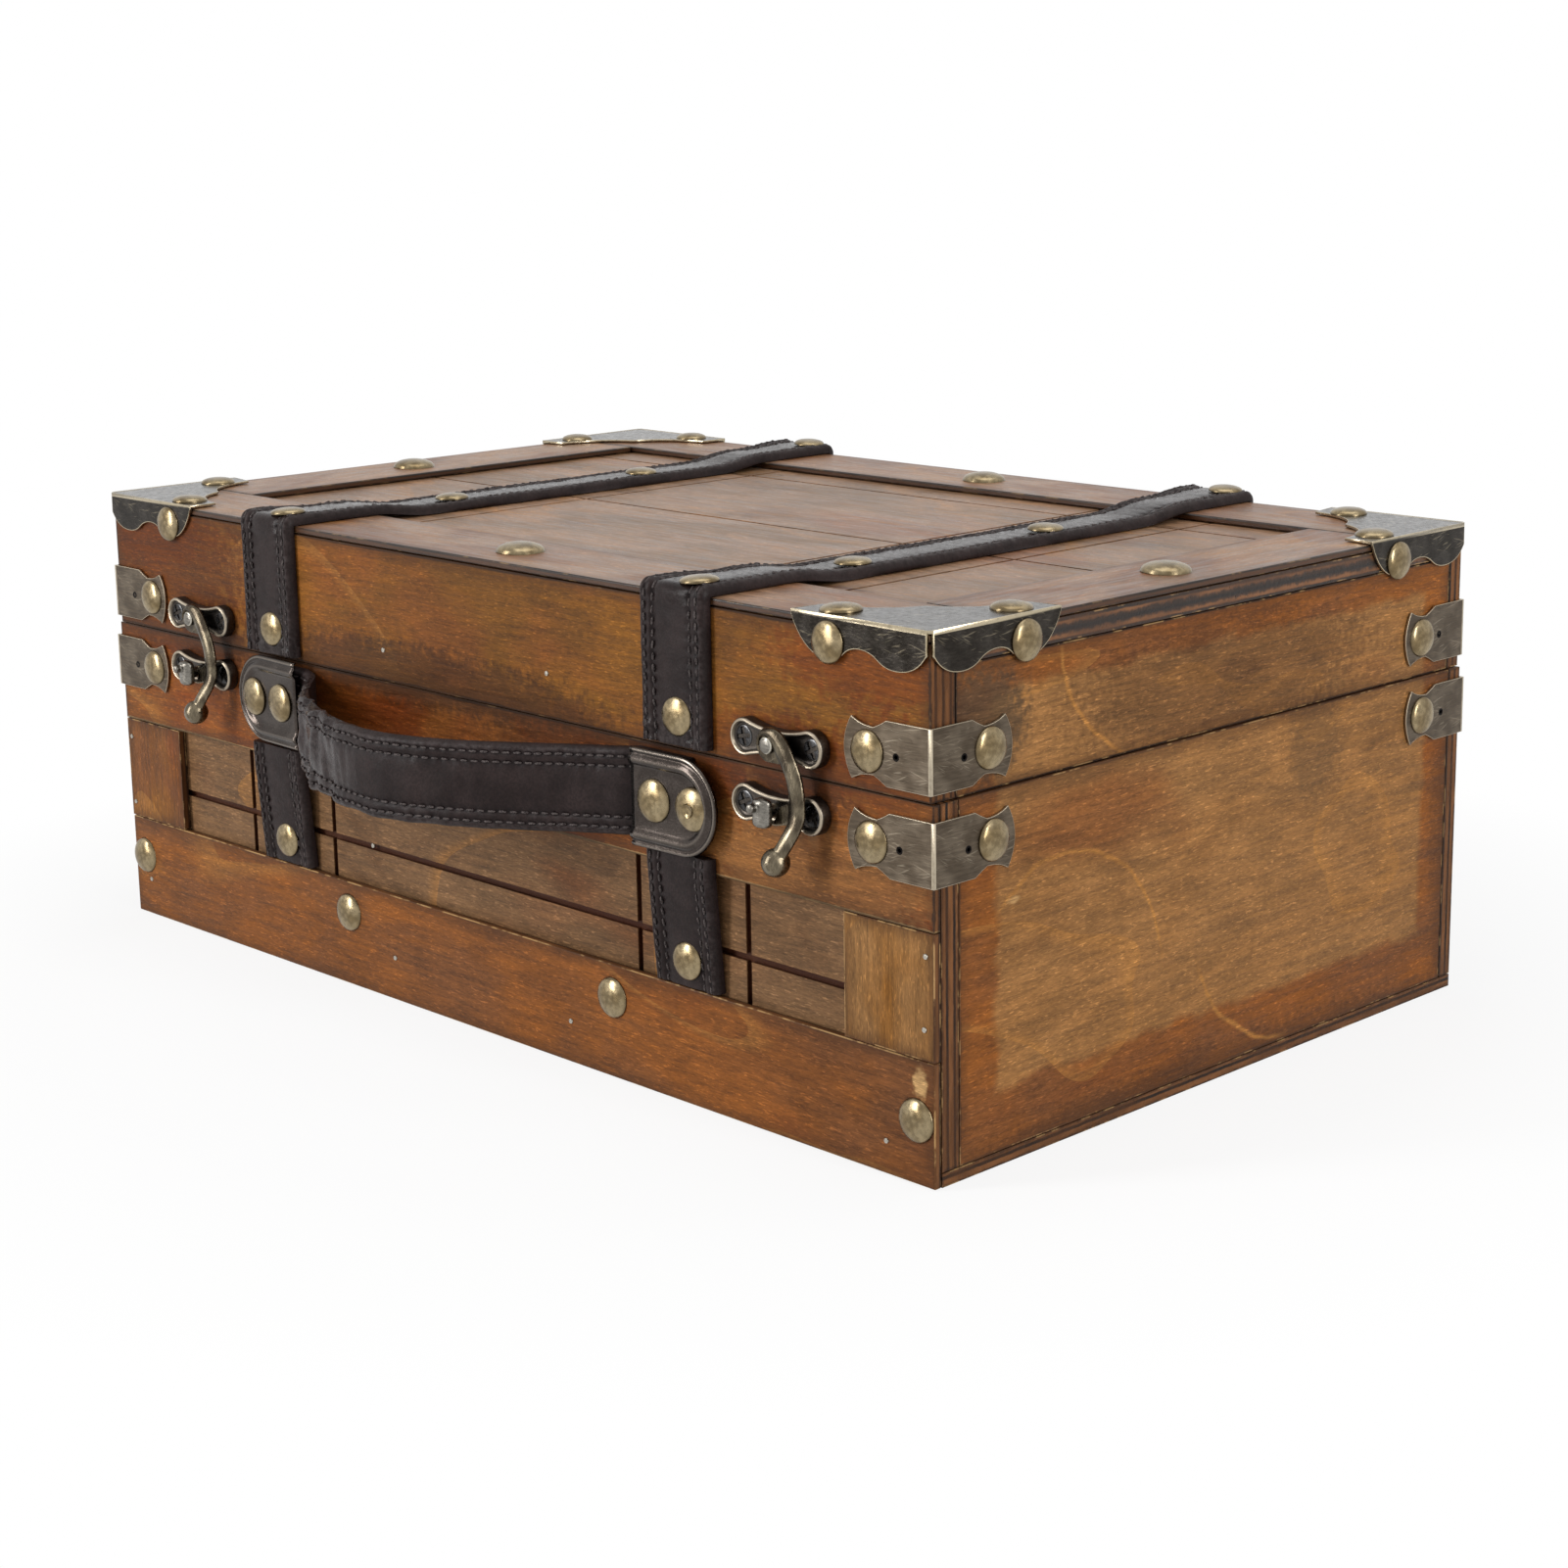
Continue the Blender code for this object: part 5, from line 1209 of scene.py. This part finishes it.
def stain(node, name, grain, base, other, shift, width=0.0, **more):
    """Give a CAD board its own wood, and softened edges if a width is given."""
    paint(node, wood(name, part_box(node), grain, base, other, shift, **more), width)


def plank(node, name, low, high, body, grain, base, shift, **more):
    """A board in place of one whose fixings are pieces of their own here."""
    shape = bmesh.new()
    size = Vector(high) - Vector(low)
    turn = Matrix.Translation((Vector(low) + Vector(high)) / 2) @ Matrix.Diagonal((*size, 1.0))
    bmesh.ops.create_cube(shape, size=1.0, matrix=turn)
    material = wood(name, (low, high), grain, base, WOOD_BROWN, shift, **more)
    soften(piece(node + "_board", shape, (material,), body, [node]), PLANK_EDGE)


def on_front(x, z, wide, high, colour, strength, deep=MARK_DEPTH):
    """A mark on the front, in millimetres."""
    return (x, 1000 * FRONT, z), (wide, deep, high), colour, strength


def end_ellipse(side, y, z, wide, high):
    """A place on the right or left end and the reach round it, in millimetres."""
    return (side * 1000 * RIGHT, y, z), (MARK_DEPTH, wide, high)


def on_end(side, y, z, wide, high, colour, strength):
    """A mark on the right or left end."""
    return *end_ellipse(side, y, z, wide, high), colour, strength


def front_marks():
    """Painted shadows beside the latches, reddened corners and a gloomy left side."""
    marks = []
    for side in (-1, 1):
        latch = side * LATCH_X * 1000
        # Painted shadow of each latch on the wood, to its right, between its two plates
        marks.append(on_front(latch + 3, 88, 21, 16, WOOD_LATCH_SHADOW_AND_SCAR, 0.6))
        marks.append(on_front(latch + 5, 87, 15, 12, WOOD_LATCH_SHADOW, 0.5))
    marks += [on_front(side * 146, 119, 34, 13, WOOD_RED, 0.7) for side in (-1, 1)]
    return marks + [
        on_front(-150, 108, 62, 34, WOOD_GLOOM, 0.78), on_front(-20, 92, 85, 9, WOOD_DARK, 0.75),
        on_front(5, 112, 60, 16, WOOD_DARK, 0.3), on_front(150, 96, 16, 14, WOOD_RED, 0.5),
        on_front(120, 94, 38, 9, WOOD_RED, 0.55),
    ]


def end_marks():
    """Smoke and dirt on both ends, and a short bare scratch."""
    marks = []
    for side in (-1, 1):
        marks += [
            on_end(side, -86, 104, 17, 15, WOOD_SMOKE, 0.78), on_end(side, 2, 3, 95, 7, WOOD_DARK, 0.55),
            on_end(side, 96, 50, 7, 60, WOOD_DARK, 0.45), on_end(side, 38, 78, 12, 14, WOOD_SMOKE, 0.38),
            on_end(side, -76, 62, 2.6, 1.0, WOOD_BARE, 0.6),
        ]
    return marks


def make_front():
    """The grooved front panel and the facing on it, and the lid's front."""
    marks = front_marks()
    rail_marks = [on_front(60, 82, 60, 9, WOOD_DARK, 0.45), on_front(128, 67, 48, 13, WOOD_OLIVE, 0.45)]
    rail_edge = [on_front(0, 59.9, 330, 0.38, WOOD_BARE, 0.7, 3)]
    chip = [on_front(160.5, 24.2, 2.4, 3.9, WOOD_BARE, 0.95, 3)]
    stain("front_panel", "front_panel_wood", X, WOOD_PANEL, WOOD_DUSTY, 23, sunk=(Y, PANEL_FACE * 1000, 1))
    stain("front_upper_rail", "upper_rail_wood", X, WOOD_ORANGE, WOOD_RED, 61, marks=marks + rail_marks,
          bands=rail_edge, worn=0.15)
    stain("lid_front_board", "lid_front_wood", X, WOOD_GOLD, WOOD_ORANGE, 73, marks=marks, worn=0.15)
    corner = (RIGHT, FRONT + FACING_THICKNESS, WINDOW_BOTTOM)
    plank("front_bottom_rail", "bottom_rail_wood", (-RIGHT, FRONT, 0), corner, "case", X, WOOD_ORANGE, 97,
          marks=chip, worn=0.9)


def make_ends():
    """The right and left ends of the case and the lid, and the stiles of the front."""
    tides = [(*end_ellipse(1, -58, 30, 36, 39), *end_ellipse(1, -40, 68, 46, 36)),
             (*end_ellipse(1, 29, 46, 41, 41), *end_ellipse(1, 6, 14, 26, 22))]
    lid_tides = [(*end_ellipse(1, -15, 120, 44, 36), *end_ellipse(1, -44, 98, 34, 26))]
    marks = end_marks()
    lid_marks = marks + [on_end(side, 2, 101, 62, 17, WOOD_DARK, 0.5) for side in (-1, 1)]
    for name, side in SIDES:
        shift = 41 if side > 0 else 57
        stain(name + "_end_panel", name + "_end_wood", Y, WOOD_ORANGE, WOOD_BROWN, shift, BOARD_EDGE,
              inner=END_INNER, marks=marks, tides=tides)
        stain("lid_" + name + "_end_board", name + "_lid_end_wood", Y, WOOD_ORANGE, WOOD_BROWN, shift + 5,
              BOARD_EDGE, inner=END_INNER, marks=lid_marks, tides=lid_tides)
        stain("front_" + name + "_stile", name + "_stile_wood", Z, WOOD_OLIVE if side > 0 else WOOD_BROWN,
              WOOD_GOLD, shift + 9, STILE_EDGE, worn=0.7)


def make_lid_top():
    """The grooved three-ply top with a scar on it, and the four members of its frame."""
    bands = [((0, 0, 121.35), (400, 400, 1.55), WOOD_BLACK, 0.9)]
    scar = [((98, -68, 124), (13, 1.3, 3), WOOD_SCAR, 0.9), ((101, -64, 124), (10, 0.9, 3), WOOD_LATCH_SHADOW_AND_SCAR, 0.9)]
    stain("lid_top_panel", "top_panel_wood", X, WOOD_TOP_WITH_SHEEN, WOOD_DUSTY, 83, sunk=(Z, PANEL_TOP * 1000, -1),
          marks=scar, bands=bands, gloss=0.28)
    members = []
    for name, side in (("front", -1), ("back", 1)):
        near, far = sorted((side * BACK, side * (BACK - FRAME_WIDTH)))
        members.append((name, X, (-LID_RIGHT, near), (LID_RIGHT, far), 103 + side))
    reach = BACK - FRAME_WIDTH - GAP
    for name, side in SIDES:
        near, far = sorted((side * LID_RIGHT, side * (LID_RIGHT - FRAME_WIDTH)))
        members.append((name, Y, (near, -reach), (far, reach), 113 + side))
    for name, grain, near, far, shift in members:
        low = (*near, HEIGHT - FRAME_THICKNESS)
        high = (*far, HEIGHT)
        plank("lid_frame_" + name, "frame_" + name + "_wood", low, high, "lid", grain, WOOD_TOP_WITH_SHEEN, shift,
              worn=0.35, gloss=0.28, layer=WOOD_DARK)


def make_boards():
    """Wood for every board. Grain runs along the long side, and upright on the stiles."""
    stain("bottom_panel", "bottom_wood", X, WOOD_BROWN, WOOD_DARK, 11, BOARD_EDGE)
    stain("back_panel", "back_wood", X, WOOD_ORANGE, WOOD_BROWN, 37, BOARD_EDGE, inner=BACK_INNER)
    stain("lid_back_board", "lid_back_wood", X, WOOD_ORANGE, WOOD_BROWN, 79, BOARD_EDGE, inner=BACK_INNER)
    make_front()
    make_ends()
    make_lid_top()


def make_wood_tacks(rail, large):
    """Tacks on the bottom rail and on the lid's frame."""
    for number, (x, z) in enumerate(RAIL_TACKS, 1):
        add_tack("rail_tack_" + str(number), rail, "case", face_frame("front", (x, FRONT, z)), 3 - number)
    middle = BACK - FRAME_WIDTH / 2
    side = LID_RIGHT - FRAME_WIDTH / 2
    places = (
        ("front", FRAME_TACK_RIGHT, -middle), ("back", FRAME_TACK_RIGHT, middle),
        ("left", -side, -FRAME_TACK_FORWARD), ("right", side, -FRAME_TACK_FORWARD),
    )
    for name, x, y in places:
        add_tack("frame_tack_" + name, large, "lid", move(x, y, HEIGHT), 1.5)


# Nails and hinges

# Body, place across and height of each nail on the front, in millimetres
NAILS = (
    ("lid", -34, 97), ("lid", 34, 100), ("case", -157, 11), ("case", -35, 12), ("case", 39, 11),
    ("case", 150, 8), ("case", 162.5, 54), ("case", 162, 37), ("case", -163, 54), ("case", -163, 34),
)
PANEL_NAIL = (-0.046, PANEL_FACE, 0.041)


def make_nails(material):
    """Small square-cut nail heads left bright in the wood of the front."""
    profile = [(0.0006, -0.0004), (0.0007, 0.0001), (0.0006, 0.0003), (0.0003, 0.00034)]
    mesh = turned_mesh("nail", profile, 10, material)
    places = [(body, (x / 1000, FRONT, z / 1000)) for body, x, z in NAILS]
    for number, (body, place) in enumerate([*places, ("case", PANEL_NAIL)], 1):
        piece("nail_" + str(number), mesh, (), body, turn=face_frame("front", place))


def make_hinges(material, pin, screw):
    """Finish for the hinges, with three screws in each leaf."""
    for name, side in SIDES:
        for kind, up in (("lid", 1), ("case", -1)):
            paint("hinge_" + kind + "_leaf_" + name, material)
            for number, shift in enumerate((-HINGE_SCREW_SPACING, 0.0, HINGE_SCREW_SPACING), 1):
                height = HINGE_OUTER_SCREW_UP if shift else HINGE_MIDDLE_SCREW_UP
                place = (side * HINGE_X + shift, BACK + GAP + HINGE_LEAF, HINGE_Z + up * height)
                piece("hinge_" + kind + "_screw_" + name + "_" + str(number), screw, (), kind,
                      turn=face_frame("back", place))
        paint("hinge_pin_" + name, pin)


# Camera, floor and light

PHOTO_SIZE = 1601
FOCAL_LENGTH_IN_PIXELS = 2921.97
VIEW_CENTRE_IN_PIXELS = (861.19, 732.30)
CAMERA_PLACE = (0.577, -0.5396, 0.241)
CAMERA_ANGLES = (45.11, 12.44, -0.67)


def make_camera():
    """The photograph's view."""
    azimuth, elevation, roll = (math.radians(angle) for angle in CAMERA_ANGLES)
    level = math.cos(elevation)
    back = Vector((math.sin(azimuth) * level, -math.cos(azimuth) * level, math.sin(elevation)))
    right = Vector((math.cos(azimuth), math.sin(azimuth), 0))
    up = right.cross(-back)
    across = math.cos(roll) * right + math.sin(roll) * up
    upright = math.cos(roll) * up - math.sin(roll) * right
    data = bpy.data.cameras.new("camera")
    data.sensor_width = 36
    data.lens = FOCAL_LENGTH_IN_PIXELS / PHOTO_SIZE * data.sensor_width
    data.shift_x = (PHOTO_SIZE / 2 - VIEW_CENTRE_IN_PIXELS[0]) / PHOTO_SIZE
    data.shift_y = (VIEW_CENTRE_IN_PIXELS[1] - PHOTO_SIZE / 2) / PHOTO_SIZE
    camera = bpy.data.objects.new("camera", data)
    turn = Matrix((across, upright, back)).transposed().to_4x4()
    turn.translation = CAMERA_PLACE
    camera.matrix_world = turn
    bpy.context.collection.objects.link(camera)
    bpy.context.scene.camera = camera


def seen(tree):
    """1 for rays from the camera, off gloss or through glass, else 0."""
    kinds = ("Is Camera Ray", "Is Glossy Ray", "Is Transmission Ray")
    eye, gloss, glass = (add_node(tree, "LightPath", {}, kind) for kind in kinds)
    return eye.math("MAXIMUM", gloss).math("MAXIMUM", glass)


def make_floor():
    """A pale floor that is white to the camera and keeps a light shadow near the trunk."""
    material = bpy.data.materials.new("pale_floor")
    material.use_nodes = True
    tree = material.node_tree
    shader = tree.nodes["Principled BSDF"]
    for key, value in (("Base Color", (0.86, 0.86, 0.86)), ("Roughness", 0.9), ("Specular IOR Level", 0.0)):
        put(tree, shader.inputs[key], value)
    place = add_node(tree, "TexCoord", {}, "Object")
    reach = add_node(tree, "VectorMath", {0: place}, "Value", operation="LENGTH")
    far = add_node(tree, "MapRange", {
        "Value": reach, "From Min": 0.20, "From Max": 0.30, "To Min": 0.84, "To Max": 1.0})
    glow = add_node(tree, "Emission", {"Strength": 1.0})
    mixed = add_node(tree, "MixShader", {0: seen(tree) * far, 1: Level(tree, shader.outputs[0]), 2: glow})
    put(tree, tree.nodes["Material Output"].inputs[0], mixed)
    shape = bmesh.new()
    bmesh.ops.create_grid(shape, x_segments=2, y_segments=2, size=6.0)
    floor = bpy.data.objects.new("floor", mesh_from(shape, "floor", material))
    floor.location.z = -0.0002
    bpy.context.collection.objects.link(floor)


def make_world():
    """A white surround to the eye, and a softer even light on the object."""
    world = bpy.data.worlds.new("studio")
    bpy.context.scene.world = world
    world.use_nodes = True
    tree = world.node_tree
    background = tree.nodes["Background"]
    put(tree, background.inputs["Color"], (1, 1, 1))
    strength = add_node(tree, "MapRange", {"Value": seen(tree), "To Min": 0.28, "To Max": 1.0})
    put(tree, background.inputs["Strength"], strength)


def make_lamp(name, place, target, width, height, power):
    data = bpy.data.lights.new(name, "AREA")
    data.shape = "RECTANGLE"
    data.size = width
    data.size_y = height
    data.energy = power
    lamp = bpy.data.objects.new(name, data)
    lamp.location = place
    lamp.rotation_euler = (Vector(target) - Vector(place)).to_track_quat("-Z", "Y").to_euler()
    bpy.context.collection.objects.link(lamp)


def make_lights():
    """Soft boxes at the left of the front, at the right end and above."""
    make_lamp("key", (-0.70, -1.30, 0.62), (0, 0, 0.06), 0.32, 1.3, 19.5)
    make_lamp("right", (1.50, -0.10, 0.60), (0, 0, 0.06), 0.4, 1.1, 15.5)
    make_lamp("top", (0.1, 0.1, 1.4), (0, 0, 0.1), 1.0, 1.0, 5)


def make_metalwork(brass):
    """Everything of metal after the tacks of the straps, each kind in its own finish."""
    bronze = metal("antique_bronze", (0.080, 0.061, 0.043), (0.124, 0.098, 0.071), (0.42, 0.36, 0.27), 0.40,
                   (0.08, 0.08, 1.0), 0.3, 0.25)
    beaded = metal("plate_bronze", (0.046, 0.037, 0.032), (0.068, 0.056, 0.049), (0.17, 0.145, 0.122), 0.20,
                   specks=0.15, shift=9)
    black = metal("blackened_metal", (0.026, 0.022, 0.018), (0.046, 0.040, 0.034), (0.46, 0.39, 0.27), 0.22,
                  (0.3, 0.3, 1.0), 0.2, 0.24)
    dark = metal("latch_bronze", (0.040, 0.034, 0.030), (0.078, 0.067, 0.056), (0.40, 0.34, 0.26), 0.36,
                 shift=4)
    cast_bronze = metal("hook_bronze", (0.058, 0.046, 0.032), (0.152, 0.126, 0.086), (0.5, 0.42, 0.3), 0.27,
                        (1.0, 0.3, 0.3), 0.3, 0.2)
    silver = metal("rubbed_steel", (0.160, 0.148, 0.128), (0.270, 0.252, 0.222), (0.5, 0.47, 0.4), 0.30,
                   (0.15, 1.0, 1.0), 0.15)
    steel = metal("black_steel", (0.036, 0.035, 0.036), (0.070, 0.069, 0.070), (0.30, 0.30, 0.30), 0.28)
    nail = metal("nail_steel", (0.300, 0.280, 0.240), (0.520, 0.490, 0.430), (0.6, 0.6, 0.6), 0.36)
    # Painted shade: the empty nail holes are shallow cups in near black
    shade = metal("hole_shade", (0.006, 0.005, 0.005), (0.012, 0.010, 0.009), (0.05, 0.04, 0.03), 0.6)
    cup = [(0.0009, 0.0), (0.00095, 0.00004), (0.0006, 0.00005), (0.0003, -0.0001)]
    hole = turned_mesh("nail_hole", cup, 16, shade)
    rivet = tack_mesh("rivet", RIVET_SIZE, brass)
    make_handle_plates(beaded, rivet, tack_mesh("ringed_rivet", RIVET_SIZE, brass, boss=True))
    make_brackets(bronze, tack_mesh("bracket_tack", BRACKET_TACK_SIZE, brass), hole)
    make_metal_corners(black, tack_mesh("corner_tack", CORNER_TACK_SIZE, brass))
    make_latches(dark, cast_bronze, silver, screw_mesh("latch_screw", LATCH_SCREW_RADIUS, steel))
    make_hinges(bronze, brass, screw_mesh("hinge_screw", HINGE_SCREW_RADIUS, steel))
    rail_tack = tack_mesh("rail_tack", RAIL_TACK_SIZE, brass)
    make_wood_tacks(rail_tack, tack_mesh("frame_tack", FRAME_TACK_SIZE, brass))
    make_nails(nail)


def main():
    """Build every visible piece, then the studio."""
    make_camera()
    make_boards()
    brass = metal("aged_brass", (0.188, 0.138, 0.072), (0.285, 0.225, 0.134), (0.08, 0.06, 0.035), 0.25,
                  (0.3, 0.3, 0.3), 0.2)
    leathers = (leather(), thread())
    make_straps(leathers, tack_mesh("tack", TACK_SIZE, brass))
    make_handle(leathers)
    make_metalwork(brass)
    make_floor()
    make_world()
    make_lights()
    bpy.context.scene.view_settings.view_transform = "Standard"


main()
